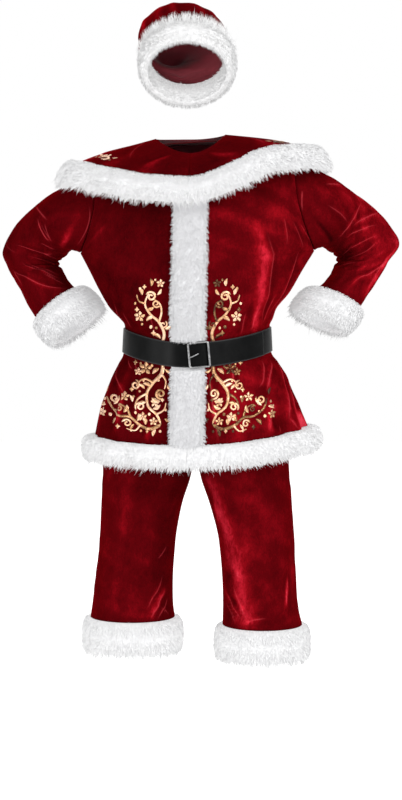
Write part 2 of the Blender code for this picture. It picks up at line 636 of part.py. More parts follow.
def trouser_leg(name, table, side, creases, velvet):
    """One leg is one piece of velvet, sewn to itself at the inseam and to the other leg round the crotch."""
    trim = seam_trim(SEAM_GAP, LEG_RADIUS)
    turn = np.linspace(trim, 2 * math.pi - trim, LEG_SIDES + 1)[None]
    leg = leg_section(through(table, LEG_RINGS), turn, side)
    top = np.repeat(table[-1:], len(HIPS), axis=0)
    top[:, 2] = HIPS[:, 2]
    closed = HIPS[:, -1][:, None, None]
    hips = leg_section(top, turn, side) * (1 - closed) + hip_section(HIPS, turn, side) * closed
    grid = np.vstack([leg, hips])
    degrees = np.degrees(turn)
    dent = np.zeros(grid.shape[:2])
    for z, slope, z_width, angle, angle_width, deep in creases:
        away = grid[..., 2] - z - slope * (degrees - angle)
        dent += deep * np.exp(-(away / z_width) ** 2) * wave(degrees, angle, angle_width)
    centre = np.zeros((len(grid), 3))
    centre[:, 0] = (grid[..., 0].min(axis=1) + grid[..., 0].max(axis=1)) / 2
    centre[:, 2] = grid[:, 0, 2]
    inwards = unit(centre[:, None] - grid)
    edge_fade = np.clip(np.minimum(degrees, 360 - degrees) / LEG_SEAM_FADE, 0, 1)
    low_fade = np.clip((grid[..., 2] - table[0, 2]) / LEG_CUFF_FADE, 0, 1)
    grid = grid + inwards * (dent * edge_fade * low_fade)[..., None]
    grid[len(leg) - 1:, (0, -1), 0] += side * CROTCH_HALF_GAP
    mesh = grid_mesh(name, grid, centres=centre)
    add_piece(name, mesh, velvet, VELVET_WALL)


def trousers(velvet, fur):
    for word, table, side, creases in (("right", LEG_RIGHT, -1, LEG_CREASES_RIGHT),
                                       ("left", LEG_LEFT, 1, LEG_CREASES_LEFT)):
        trouser_leg(f"trouser_leg_{word}", table, side, creases, velvet)
        ring = leg_section(table[:1], whole_turn(TROUSER_CUFF_SIDES)[None], side)[0]
        down = np.broadcast_to(np.array((0.0, 0.0, -1.0)), ring.shape)
        fur_along(f"trouser_cuff_fur_{word}", ring, down, plan_normals(ring, down),
                  fur_profile(*TROUSER_CUFF_FUR), fur, True)
    turn = whole_turn(WAISTBAND_SIDES)[None]
    rows = np.repeat(HIPS[-1:], 2, axis=0)
    rows[:, 2] += TRIM_GAP + np.array((0, WAISTBAND_HEIGHT))
    left_x, right_x, z, front_y, _, _ = rows.T[..., None]
    middle, half = (left_x + right_x) / 2, (right_x - left_x) / 2
    band = np.stack([middle + half * np.sin(turn), front_y * np.cos(turn), z + 0 * turn], axis=-1)
    mesh = grid_mesh("trouser_waistband", band, closed_v=True, centres=np.hstack([middle, 0 * middle, z]))
    add_piece("trouser_waistband", mesh, velvet, WAISTBAND_WALL)


def cape_section(places, s, side, face):
    """Quarter sections of the cape; its front edge rises sooner on the right of the wearer."""
    left, right, front, back = four_points(through(CAPE, places))
    edge = left if side < 0 else right
    corner = front if face < 0 else back
    sag = 2.0 if face > 0 else CAPE_SAG_LEFT if side < 0 else CAPE_SAG_RIGHT
    power = 2.0 + (sag - 2.0) * np.asarray(places, float)[:, None] / (len(CAPE) - 1)
    return quarter(corner, edge, s, power)


def cape(velvet, fur):
    def section(side, face, s):
        return cape_section(CAPE_RINGS, s, side, face)
    grid = open_ring(section, CAPE_SIDES, seam_trim(SEAM_GAP, CAPE_NECK_RADIUS))
    centres = np.zeros((len(grid), 3))
    centres[:, 2] = CAPE_LOWEST_Z
    mesh = grid_mesh("cape_velvet", grid, centres=centres)
    add_piece("cape_velvet", mesh, velvet, VELVET_WALL)

    def seam(side, face, s):
        return cape_section((len(CAPE) - 1.3, len(CAPE) - 1), s, side, face)
    grid = open_ring(seam, CAPE_FUR_SIDES, seam_trim(SEAM_GAP, CAPE_EDGE_RADIUS))
    slope = unit(grid[1] - grid[0])
    steep = unit(slope + np.array((0, 0, -CAPE_FUR_DROP)))
    outward = open_ends(plan_normals(grid[1], steep))
    fur_along("cape_fur", grid[1] + slope * CAPE_FUR_START, steep, outward, fur_profile(*CAPE_FUR), fur, False)


def belt_line(angle, layer):
    """A point of the belt's middle line and the ways out and up there.

    The angle runs from the centre front, and layer 1 is the free end that lies over the strap.
    """
    side = 1 if math.sin(angle) >= 0 else -1
    face = -1 if math.cos(angle) >= 0 else 1
    s = math.acos(min(1.0, abs(math.cos(angle))))
    rows = body_section((BELT_LOW_ROW, BELT_TOP_ROW), np.array([[s]]), side, face)[:, 0]
    near = body_section((BELT_LOW_ROW, BELT_TOP_ROW), np.array([[max(s - BELT_NEAR, 0)]]), side, face)[:, 0]
    middle, up = rows.mean(axis=0), unit(rows[1] - rows[0])
    along = unit(middle - near.mean(axis=0) + np.array((1e-9, 0, 0)))
    outward = unit(np.cross(along, up))
    if (outward * (middle - np.array((BELT_CENTRE_X, 0, middle[2])))).sum() < 0:
        outward = -outward
    over_fur = BELT_OVER_PLACKET * math.exp(-((middle[0] / BELT_PLACKET_SPREAD) ** 4)) if face < 0 else 0
    stand_out = BELT_WALL + BELT_OFF_VELVET + over_fur + layer * (BELT_WALL + BELT_LAYER_GAP)
    return middle + outward * stand_out, outward, up


def belt(leather, silver):
    """The strap runs from the buckle's bar round the waist, through the buckle and over its own start."""
    start = math.asin(BUCKLE_X / BELT_START_RADIUS)
    end = 2 * math.pi + math.asin(BELT_TIP_X / BELT_TIP_RADIUS)
    second_from, second_at = (2 * math.pi - before for before in BELT_OVERLAP)
    grid = []
    for angle in np.linspace(start, end, BELT_STEPS):
        again = np.clip((angle - second_from) / (second_at - second_from), 0, 1)
        point, _, up = belt_line(angle, again * again * (3 - 2 * again))
        grid.append([point + up * BELT_HEIGHT * share for share in (-0.5, 0.0, 0.5)])
    grid = np.array(grid)
    centres = np.zeros((len(grid), 3))
    centres[:, 0] = BELT_CENTRE_X
    centres[:, 2] = grid[:, 1, 2]
    mesh = grid_mesh("belt_strap", grid, centres=centres)
    add_piece("belt_strap", mesh, leather, BELT_WALL)
    buckle(silver)


def round_bar(name, points, radius, finish, cyclic):
    """A round bar through points in millimetres, as a mesh with welded caps."""
    curve = bpy.data.curves.new(name, "CURVE")
    curve.dimensions = "3D"
    curve.bevel_depth = radius * MM
    curve.bevel_resolution = 1
    curve.use_fill_caps = not cyclic
    line = curve.splines.new("POLY")
    line.points.add(len(points) - 1)
    for spot, point in zip(line.points, points):
        spot.co = (*(np.asarray(point) * MM), 1)
    line.use_cyclic_u = cyclic
    guide = bpy.data.objects.new(name + "_guide", curve)
    bpy.context.scene.collection.objects.link(guide)
    made = bpy.data.meshes.new_from_object(guide.evaluated_get(bpy.context.evaluated_depsgraph_get()))
    bpy.data.objects.remove(guide, do_unlink=True)
    shape = bmesh.new()
    shape.from_mesh(made)
    bmesh.ops.remove_doubles(shape, verts=shape.verts, dist=0.00001)
    bmesh.ops.recalc_face_normals(shape, faces=shape.faces)
    shape.to_mesh(made)
    shape.free()
    made.shade_smooth()
    made.name = name
    made.materials.clear()
    return add_piece(name, made, finish)


def buckle(silver):
    """A plain frame over the strap, and a short prong that rests on the frame's -X bar."""
    point, outward, up = belt_line(2 * math.pi + math.asin(BUCKLE_X / BELT_START_RADIUS), 1.0)
    across = unit(np.cross(outward, up))
    if across[0] < 0:
        across = -across
    turn_up = up * math.cos(BUCKLE_LEAN) - across * math.sin(BUCKLE_LEAN)
    turn_across = across * math.cos(BUCKLE_LEAN) + up * math.sin(BUCKLE_LEAN)
    radius = BUCKLE_WIRE / 2
    centre = point + outward * (radius + BUCKLE_OFF_STRAP)
    half_w, half_h = BUCKLE_WIDTH / 2 - radius, BUCKLE_HEIGHT / 2 - radius
    outline = []
    for sign_x, sign_z, first in ((1, 1, 0), (-1, 1, 90), (-1, -1, 180), (1, -1, 270)):
        for turn in (0, 45, 90):
            a = math.radians(first + turn)
            outline.append(centre
                           + turn_across * (sign_x * (half_w - BUCKLE_CORNER) + BUCKLE_CORNER * math.cos(a))
                           + turn_up * (sign_z * (half_h - BUCKLE_CORNER) + BUCKLE_CORNER * math.sin(a)))
    round_bar("buckle_frame", outline, radius, silver, True)
    prong = [centre - turn_across * back + turn_up * high + outward * out for back, high, out in (
        (PRONG_ROOT, 2, 0.6), (half_w - 6, -3, BUCKLE_WIRE - 0.6), (half_w + 1.5, -4, BUCKLE_WIRE - 1.0))]
    round_bar("buckle_prong", prong, PRONG_WIRE / 2, silver, False)


def hat_ring(places, turn):
    """Rings of the hat: turn 0 is the wearer's left, a quarter turn the front; each ring leans back."""
    rows = through(HAT_CROWN, places)
    half_width, half_length, lean = rows.T[3:, :, None, None]
    lean = np.radians(lean)
    turn = turn[None, :, None]
    across = np.array((1.0, 0, 0))
    fore = np.concatenate([0 * lean, -np.cos(lean), np.sin(lean)], axis=-1)
    reach = np.cos(turn) * half_width * across + np.sin(turn) * half_length * fore
    return rows[:, None, :3] + reach, rows[:, :3]


def hat(velvet, fur):
    points, centres = hat_ring(HAT_RINGS, whole_turn(HAT_SIDES))
    mesh = grid_mesh("hat_crown", points, closed_v=True, centres=centres)
    add_piece("hat_crown", mesh, velvet, VELVET_WALL)
    ring, centre = hat_ring([0], whole_turn(HAT_BAND_SIDES))
    lean = math.radians(HAT_CROWN[0][-1])
    down = np.broadcast_to(np.array((0.0, -math.sin(lean), -math.cos(lean))), ring[0].shape)
    fur_along("hat_fur_band", ring[0], down, unit(ring[0] - centre), fur_profile(*HAT_BAND_FUR), fur, True)
    ball = bmesh.new()
    bmesh.ops.create_icosphere(ball, subdivisions=2, radius=POMPOM_RADIUS * MM)
    made = bpy.data.meshes.new("hat_pompom")
    ball.to_mesh(made)
    ball.free()
    made.shade_smooth()
    pompom = add_piece("hat_pompom", made, fur)
    pompom.location = np.array(POMPOM_CENTRE) * MM


def build():
    clear_scene()
    suit = bpy.data.collections.new(COLLECTION)
    bpy.context.scene.collection.children.link(suit)
    velvet = material("burgundy_velvet", VELVET_RED, 0.55)
    fur = material("white_plush_fur", FUR_WHITE, 0.9)
    leather = material("black_belt_leather", BELT_BLACK, 0.42)
    silver = material("buckle_metal", BUCKLE_SILVER, 0.3, 1.0)
    jacket_fronts(velvet)
    jacket_back(velvet)
    sleeves(velvet, fur)
    hem_fur(fur)
    placket(fur)
    trousers(velvet, fur)
    cape(velvet, fur)
    belt(leather, silver)
    hat(velvet, fur)


build()
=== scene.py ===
import math

import bpy
import numpy as np
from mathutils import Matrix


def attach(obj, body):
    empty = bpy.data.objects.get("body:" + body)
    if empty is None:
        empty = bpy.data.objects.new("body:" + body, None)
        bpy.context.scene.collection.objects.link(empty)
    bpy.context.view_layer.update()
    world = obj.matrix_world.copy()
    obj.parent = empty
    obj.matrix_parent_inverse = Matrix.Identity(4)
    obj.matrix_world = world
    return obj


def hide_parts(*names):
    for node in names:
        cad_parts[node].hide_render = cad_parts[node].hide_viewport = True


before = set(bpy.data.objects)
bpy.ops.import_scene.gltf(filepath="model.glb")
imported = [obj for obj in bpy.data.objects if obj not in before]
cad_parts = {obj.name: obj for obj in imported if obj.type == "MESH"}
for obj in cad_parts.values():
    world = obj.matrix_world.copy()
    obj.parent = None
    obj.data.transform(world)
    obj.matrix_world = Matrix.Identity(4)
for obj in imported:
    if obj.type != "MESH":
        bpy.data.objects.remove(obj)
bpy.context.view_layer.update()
print("frame loaded:", len(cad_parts), "solids")

mm = 0.001  # every table below is in millimetres


# studio: camera, pale floor, soft lights

studio = dict(
    distance=4500, eyeHeight=-285, frameHeight=1880, principalAcross=13, principalUp=-134.7, sensor=36,
    clipEnd=60, longSide=800,  # pixels of the frame's long side, in which a shift counts
    floorHeight=-1535, floorHalf=9000, floorGrey=0.90, floorRoughness=0.9, floorGlow=0.7, air=0.74,
    # softboxes as (name, place, point they look at, width and height, power)
    softboxes=[("keySoftbox", (2.6, -3.2, 1.6), (0, 0, -0.5), (1.4, 2.4), 150),
               ("fillSoftbox", (-3.2, -2.6, 0.2), (0, 0, -0.6), (1.6, 2.6), 78),
               ("backSoftbox", (-1.6, 3.0, 1.8), (0, 0, -0.4), (2.4, 1.6), 34)])
white = (1, 1, 1, 1)


def makeCamera():
    data = bpy.data.cameras.new("studioCamera")
    data.sensor_width = studio["sensor"]
    data.lens = studio["sensor"] * studio["distance"] / studio["frameHeight"]
    data.shift_x = studio["principalAcross"] / studio["longSide"]
    data.shift_y = studio["principalUp"] / studio["longSide"]
    data.clip_end = studio["clipEnd"]
    camera = bpy.data.objects.new("studioCamera", data)
    camera.location = (0, -studio["distance"] * mm, studio["eyeHeight"] * mm)
    camera.rotation_euler = (math.radians(90), 0, 0)
    bpy.context.scene.collection.objects.link(camera)
    bpy.context.scene.camera = camera


def softbox(name, place, target, size, power):
    data = bpy.data.lights.new(name, "AREA")
    data.shape = "RECTANGLE"
    data.size, data.size_y = size
    data.energy = power
    lamp = bpy.data.objects.new(name, data)
    lamp.location = place
    x, y, z = np.array(target, float) - np.array(place, float)
    lamp.rotation_euler = (math.atan2(math.hypot(x, y), -z), 0, math.atan2(x, -y) + math.pi)
    bpy.context.scene.collection.objects.link(lamp)


def makeStudio():
    makeCamera()
    mesh = bpy.data.meshes.new("studioFloor")
    half, z = studio["floorHalf"] * mm, studio["floorHeight"] * mm
    corners = [(-half, -half, z), (half, -half, z), (half, half, z), (-half, half, z)]
    mesh.from_pydata(corners, [], [(0, 1, 2, 3)])
    floor = bpy.data.objects.new("studioFloor", mesh)
    bpy.context.scene.collection.objects.link(floor)
    pale = bpy.data.materials.new("studioPale")
    pale.use_nodes = True
    shader = pale.node_tree.nodes["Principled BSDF"]
    shader.inputs["Base Color"].default_value = (*[studio["floorGrey"]] * 3, 1)
    shader.inputs["Roughness"].default_value = studio["floorRoughness"]
    shader.inputs["Emission Color"].default_value = white
    shader.inputs["Emission Strength"].default_value = studio["floorGlow"]
    mesh.materials.append(pale)
    world = bpy.data.worlds.new("studioAir")
    bpy.context.scene.world = world
    world.use_nodes = True
    nodes, links = world.node_tree.nodes, world.node_tree.links
    air = nodes["Background"]
    air.inputs["Color"].default_value = white
    path = nodes.new("ShaderNodeLightPath")
    strength = nodes.new("ShaderNodeMapRange")  # full white to the camera, and weaker as a light
    strength.inputs["To Min"].default_value = studio["air"]
    strength.inputs["To Max"].default_value = 1.0
    links.new(path.outputs["Is Camera Ray"], strength.inputs["Value"])
    links.new(strength.outputs["Result"], air.inputs["Strength"])
    for box in studio["softboxes"]:
        softbox(*box)
    bpy.context.scene.view_settings.view_transform = "Standard"


# surface arithmetic

def unit(vectors):
    return vectors / np.maximum(np.linalg.norm(vectors, axis=-1, keepdims=True), 1e-9)


def wholeTurn(count):
    return np.linspace(0, 2 * math.pi, count, endpoint=False)


def fall(away, width):  # a bell: 1 in the middle and near 0 past two widths
    return np.exp(-(away / width) ** 2)


def ease(value):
    value = np.clip(value, 0, 1)
    return value * value * (3 - 2 * value)


# a crease: how soon it rises from its ends, its width and how much it gains, and the trough beside it
creaseForm = dict(ends=3.2, start=0.75, gain=0.5, trough=0.45, troughAway=1.9, troughWidth=1.1)
sheenBandForm = dict(past=0.12, ends=3)
# the thin painted highlight along a narrow crest, in millimetres, and the share of it that the nap takes
crestLine = dict(
    far=20.0, widest=6.5, fullHeight=2.6, relief=0.62, reach=4.0, core=0.25, edge=1.9, share=0.11,
    paintedHighlight=0.75, pale=(0.27, 0.025, 0.032))
# painted light: a crest's height brightens the velvet's colour as a painted highlight, and a trough darkens
# it as painted shade
heightPerPaintedLight = 5  # millimetres of a crest's height that brighten the nap by one
bothSides = ((-1, "right"), (1, "left"))


def through(table, places):
    # rows of a table at fractional places, on the Catmull-Rom curve through its own rows
    table = np.asarray(table, float)
    last = len(table) - 1
    places = np.clip(np.asarray(places, float), 0, last)
    start = np.minimum(places.astype(int), last - 1)
    t = (places - start)[..., None]
    before, a = table[np.maximum(start - 1, 0)], table[start]
    b, after = table[start + 1], table[np.minimum(start + 2, last)]
    curve = 2 * a + (b - before) * t + (2 * before - 5 * a + 4 * b - after) * t ** 2
    return 0.5 * (curve + (3 * a - before - 3 * b + after) * t ** 3)


def wave(angle, centre, width):
    # a bell round the body, in degrees
    return fall((angle - centre + 180.0) % 360.0 - 180.0, width)


def quarter(corner, side, s, power=2.0):
    # a quarter section from the centre line to a side: an ellipse in plan, its height as cos(s) ** power
    x = corner[..., 0] + (side[..., 0] - corner[..., 0]) * np.sin(s)
    y = side[..., 1] + (corner[..., 1] - side[..., 1]) * np.cos(s)
    z = side[..., 2] + (corner[..., 2] - side[..., 2]) * np.maximum(np.cos(s), 0) ** power
    return np.stack([x, y, z], axis=-1)


def scaled(lines, across, along=1.0):
    # lines of a table in millimetres of cloth, from their own degrees and rows
    return [(u0 * across, v0 * along, u1 * across, v1 * along, *rest) for u0, v0, u1, v1, *rest in lines]


def lineField(u, v, line, around):
    # for cloth points (u, v): the share of a bowed line that they have passed, and how far off it they are;
    # the line stands off its chord by a parabola; around is the girth of a closed cloth
    u0, v0, u1, v1, bow = line
    length = math.hypot(u1 - u0, v1 - v0)
    alongU, alongV = (u1 - u0) / length, (v1 - v0) / length
    du, dv = u - u0, v - v0
    if around:
        du = (du + around / 2) % around - around / 2
    t = (du * alongU + dv * alongV) / length
    return t, dv * alongU - du * alongV - bow * 4 * t * (1 - t)


def creaseField(u, v, creases, around=None):
    # height of soft ridges at cloth points (u, v): a bell across each bowed line and a lower one of the other
    # sign beside it, gone at both ends; with it, how strong and how far the nearest narrow crest is, to paint
    # a highlight on
    form = creaseForm
    total = np.zeros(np.broadcast(u, v).shape)
    ridge, away = total.copy(), np.full(total.shape, crestLine["far"])
    for *line, width, high in creases:
        t, off = lineField(u, v, line, around)
        ends = ease(t * form["ends"]) * ease((1 - t) * form["ends"])
        wide = width * (form["start"] + form["gain"] * ease(t))
        narrow = width <= crestLine["widest"] and high > 0
        rise = high * (crestLine["relief"] if narrow else 1) * ends
        trough = form["trough"] * fall(off - form["troughAway"] * wide, form["troughWidth"] * wide)
        total = total + rise * (fall(off, wide) - trough)
        if narrow:
            strength = np.minimum(high / crestLine["fullHeight"], 1) * ends * fall(off, crestLine["reach"])
            away = np.where(strength > ridge, off, away)
            ridge = np.maximum(ridge, strength)
    return total, ridge, away


def paintedSheenField(u, v, zones, around=None):
    # bands of painted sheen, painted shade where their amount is negative: each a soft band along a bowed
    # line, fading out at both ends
    past, ends = sheenBandForm["past"], sheenBandForm["ends"]
    total = np.zeros(np.broadcast(u, v).shape)
    for *line, width, amount in zones:
        t, off = lineField(u, v, line, around)
        total = total + amount * ease((t + past) * ends) * ease((1 + past - t) * ends) * fall(off, width)
    return total


def smoothNoise(u, v, size, seed, octaves=3):
    # smooth waves over (u, v): a sum of sines whose directions and phases come from the seed
    rng = np.random.default_rng(seed)
    waves = 5
    total, scale = np.zeros(np.broadcast(u, v).shape), 1.0
    for octave in range(octaves):
        for turn in rng.uniform(0, 2 * math.pi, waves):
            phase = rng.uniform(0, 2 * math.pi)
            wavelength = size * rng.uniform(0.7, 1.4) / 2 ** octave
            along = u * math.cos(turn) + v * math.sin(turn)
            total += scale * np.sin(along * 2 * math.pi / wavelength + phase)
        scale *= 0.5
    return total / waves


# meshes

def gridFaces(rows, columns, closedRows=False, closedColumns=False):
    number = np.arange(rows * columns).reshape(rows, columns)
    if closedRows:
        number = np.vstack([number, number[:1]])
    if closedColumns:
        number = np.hstack([number, number[:, :1]])
    corners = number[:-1, :-1], number[:-1, 1:], number[1:, 1:], number[1:, :-1]
    return np.stack(corners, axis=-1).reshape(-1, 4)


def weld(points, faces):
    # points that lie in the same place become one, and faces that lose a corner become triangles
    keys, first, index = np.unique(np.round(points, 3), axis=0, return_index=True, return_inverse=True)
    return points[first], index.reshape(-1)[faces]


def plainFloats(values):
    return np.ascontiguousarray(values, dtype=np.float32).ravel()


def meshFrom(name, points, faceLists, values=None):
    # one mesh from points in millimetres and faces with 3 or 4 corners; values are stored on its points
    mesh = bpy.data.meshes.new(name)
    corners = np.concatenate([faces.reshape(-1) for faces in faceLists])
    sizes = np.concatenate([np.full(len(faces), faces.shape[1]) for faces in faceLists])
    mesh.vertices.add(len(points))
    mesh.vertices.foreach_set("co", plainFloats(points * mm))
    mesh.loops.add(len(corners))
    mesh.loops.foreach_set("vertex_index", corners.astype(np.int32))
    mesh.polygons.add(len(sizes))
    starts = np.concatenate([[0], np.cumsum(sizes)[:-1]])
    mesh.polygons.foreach_set("loop_start", starts.astype(np.int32))
    mesh.update(calc_edges=True)
    for key, value in (values or {}).items():
        vector = np.size(value) == 3 * len(points)
        attribute = mesh.attributes.new(key, "FLOAT_VECTOR" if vector else "FLOAT", "POINT")
        attribute.data.foreach_set("vector" if vector else "value", plainFloats(value))
    mesh.validate()
    mesh.shade_smooth()
    return mesh


def outwardFaces(points, faces, inside):
    # turns the faces round if they look inwards on the whole; inside is one point, or one for each face
    normals = np.cross(points[faces[:, 2]] - points[faces[:, 0]], points[faces[:, -1]] - points[faces[:, 1]])
    away = points[faces].mean(axis=1) - inside
    return faces[:, ::-1] if (normals * away).sum() < 0 else faces


def gridShell(grid, middles, closedRows=False, closedColumns=True):
    # a grid's points in one list, and its faces turned away from the middles, one for each row
    rows, columns = grid.shape[:2]
    flat, faces = grid.reshape(-1, 3), gridFaces(rows, columns, closedRows, closedColumns)
    return flat, outwardFaces(flat, faces, np.repeat(middles, columns, axis=0)[faces[:, 0]])


def uprightLine(x, points):
    # one point for each row of a grid: at x, halfway through the depth, as high as the row's first point
    z = points[:, 0, 2]
    return np.stack([x + 0 * z, 0 * z, z], axis=-1)


def addPiece(name, mesh, finishes, wall=None, replaced=()):
    for finish in finishes:
        mesh.materials.append(finish)
    piece = bpy.data.objects.new(name, mesh)
    bpy.context.scene.collection.objects.link(piece)
    if wall:
        thick = piece.modifiers.new("cloth", "SOLIDIFY")
        thick.thickness = wall * mm
        thick.offset = -1
        if len(finishes) > 1:
            thick.material_offset = 1
            thick.material_offset_rim = 0
    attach(piece, "root")
    if replaced:
        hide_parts(*replaced)
    return piece


# finishes

def makeMottle():
    # broad soft patches, crushed streaks and fine grain on one set of coordinates, each about 0.5 on average
    group = bpy.data.node_groups.new("clothMottle", "ShaderNodeTree")
    group.interface.new_socket(name="Vector", in_out="INPUT", socket_type="NodeSocketVector")
    for label in ("Patches Scale", "Crush Scale", "Grain Scale", "Distortion"):
        group.interface.new_socket(name=label, in_out="INPUT", socket_type="NodeSocketFloat")
    for label in ("Patches", "Crush", "Grain"):
        group.interface.new_socket(name=label, in_out="OUTPUT", socket_type="NodeSocketFloat")
    start, end = group.nodes.new("NodeGroupInput"), group.nodes.new("NodeGroupOutput")
    for label, detail in (("Patches", 3.0), ("Crush", 3.0), ("Grain", 2.0)):
        noise = group.nodes.new("ShaderNodeTexNoise")
        noise.inputs["Detail"].default_value = detail
        group.links.new(start.outputs["Vector"], noise.inputs["Vector"])
        group.links.new(start.outputs[label + " Scale"], noise.inputs["Scale"])
        if label != "Grain":
            group.links.new(start.outputs["Distortion"], noise.inputs["Distortion"])
        group.links.new(noise.outputs["Fac"], end.inputs[label])
    return group


mottle = makeMottle()


class Finish:
    # a material under construction: its shader, and short ways to add nodes to it
    def __init__(self, name, **sockets):
        self.material = bpy.data.materials.new(name)
        self.material.use_nodes = True
        self.nodes, self.links = self.material.node_tree.nodes, self.material.node_tree.links
        self.shader = self.nodes["Principled BSDF"]
        for label, value in sockets.items():
            self.shader.inputs[label.replace("_", " ")].default_value = value

    def add(self, kind, inputs, output=0, **settings):
        # one output of a new node; inputs holds numbers, colours and what is linked, by socket
        node = self.nodes.new("ShaderNode" + kind)
        for label, value in settings.items():
            setattr(node, label, value)
        for label, value in inputs.items():
            if isinstance(value, bpy.types.NodeSocket):
                self.links.new(value, node.inputs[label])
            else:
                node.inputs[label].default_value = value
        return node.outputs[output]

    def mottled(self, patchScale, grainScale, distortion=0.8, scale=(1, 1, 1), crushScale=120.0):
        place = self.add("Mapping", {"Vector": self.add("TexCoord", {}, "Object"), "Scale": scale})
        values = {"Vector": place, "Patches Scale": patchScale, "Crush Scale": crushScale,
                  "Grain Scale": grainScale, "Distortion": distortion}
        outputs = self.add("Group", values, node_tree=mottle).node.outputs
        return outputs["Patches"], outputs["Crush"], outputs["Grain"]

    def stored(self, name, output="Fac"):
        return self.add("Attribute", {}, output, attribute_name=name)

    def storedParts(self, name):
        # the three numbers of a stored vector
        return self.add("SeparateXYZ", {0: self.stored(name, "Vector")}).node.outputs

    def math(self, operation, *values):
        return self.add("Math", dict(enumerate(values)), operation=operation)

    def sum(self, first, second, firstShare, secondShare):
        # first * firstShare + second * secondShare
        return self.math("MULTIPLY_ADD", first, firstShare, self.math("MULTIPLY", second, secondShare))

    def ramp(self, value, stops, mode="EASE"):
        colour = self.add("ValToRGB", {"Fac": value}, "Color")
        scale = colour.node.color_ramp
        scale.interpolation = mode
        while len(scale.elements) < len(stops):
            scale.elements.new(0.5)
        for element, (position, shade) in zip(scale.elements, stops):
            element.position = position
            element.color = (*shade, 1)
        return colour

    def mapped(self, value, low, high, toLow, toHigh):
        ends = {"Value": value, "From Min": low, "From Max": high, "To Min": toLow, "To Max": toHigh}
        return self.add("MapRange", ends, "Result")

    def towards(self, colour, mask, other):
        # colour mixed towards another one where the mask is
        return self.add("Mix", {"Factor": mask, "A": colour, "B": (*other, 1)}, "Result", data_type="RGBA")

    def bump(self, height, strength, distance):
        self.into("Normal", self.add("Bump", {"Height": height, "Strength": strength, "Distance": distance}))

    def softened(self, name, share):
        # the surface's own normal, mostly replaced by the way stored under name, as a pile scatters light
        ways = (self.stored(name, "Vector"), share), (self.add("NewGeometry", {}, "Normal"), 1 - share)
        parts = (self.add("VectorMath", {0: way, "Scale": weight}, operation="SCALE") for way, weight in ways)
        both = self.add("VectorMath", dict(enumerate(parts)), operation="ADD")
        return self.add("VectorMath", {0: both}, operation="NORMALIZE")

    def into(self, label, value):
        self.links.new(value, self.shader.inputs[label])


# shades are a colour ramp's stops, mottle (patch scale, grain scale, distortion, stretch, crush scale),
# roughness (from, to) of what drives it and then of the result, bump (strength, depth in metres)
velvetLook = dict(
    sockets=dict(Sheen_Weight=0.04, Sheen_Roughness=0.3, Sheen_Tint=(0.9, 0.015, 0.03, 1), Metallic=0.2,
                 Specular_IOR_Level=0.0, Specular_Tint=(1.0, 0.08, 0.12, 1)),
    mottle=(9.0, 460.0, 0.9, (1.0, 1.0, 0.55), 130.0), crushed=(0.0, 1.0, 0.16, 0.62), patchShare=0.24,
    grainShare=0.17, paintedSheenShare=0.23, roughness=(0.15, 0.65, 0.50, 0.32), bump=(0.4, 0.0008),
    shades=[
        (0.09, (0.022, 0.0004, 0.0010)), (0.285, (0.069, 0.0009, 0.0021)), (0.465, (0.156, 0.0019, 0.0045)),
        (0.70, (0.375, 0.0095, 0.0205)), (0.86, (0.56, 0.038, 0.062))])
reverseLook = dict(mottle=(14.0, 700.0, 0.3, (1, 1, 3)), bump=(0.4, 0.0005),
                   shades=[(0.3, (0.11, 0.004, 0.010)), (0.7, (0.19, 0.009, 0.020))])
# the fur's emission is painted light: it glows in its own colour
furLook = dict(
    sockets=dict(Emission_Strength=0.85, Roughness=0.85, Sheen_Weight=0.15, Sheen_Roughness=0.5,
                 Specular_IOR_Level=0.15),
    mottle=(30.0, 500.0), patchShare=0.2, grainShare=0.1, tipShare=0.3, softened=0.8,
    shades=[
        (0.0, (0.400, 0.400, 0.408)), (0.17, (0.488, 0.488, 0.494)), (0.45, (0.525, 0.525, 0.527)),
        (0.85, (0.59, 0.59, 0.59))])
leatherLook = dict(
    mottle=(40.0, 1400.0), patchShare=0.25, edgeHighlightShare=0.6, roughness=(0.3, 0.7, 0.28, 0.40),
    bump=(0.25, 0.0003), shades=[(0.1, (0.0010, 0.0011, 0.0012)), (0.85, (0.026, 0.026, 0.027))])
metalLook = dict(mottle=(60.0, 900.0, 0.2, (1, 1, 6)), roughness=(0.3, 0.7, 0.34, 0.50),
                 shades=[(0.3, (0.15, 0.15, 0.155)), (0.7, (0.30, 0.30, 0.30))])
foilLook = dict(
    mottle=(55.0, 900.0, 1.5, (1, 1, 1), 210.0), patchShare=0.6, crushShare=0.45, grainShare=0.15,
    shineShare=0.42, roughness=(0.3, 0.7, 0.30, 0.50), bump=(0.3, 0.0004),
    shades=[
        (0.44, (0.055, 0.020, 0.008)), (0.60, (0.26, 0.13, 0.050)), (0.76, (0.60, 0.33, 0.17)),
        (0.94, (0.80, 0.505, 0.34))])


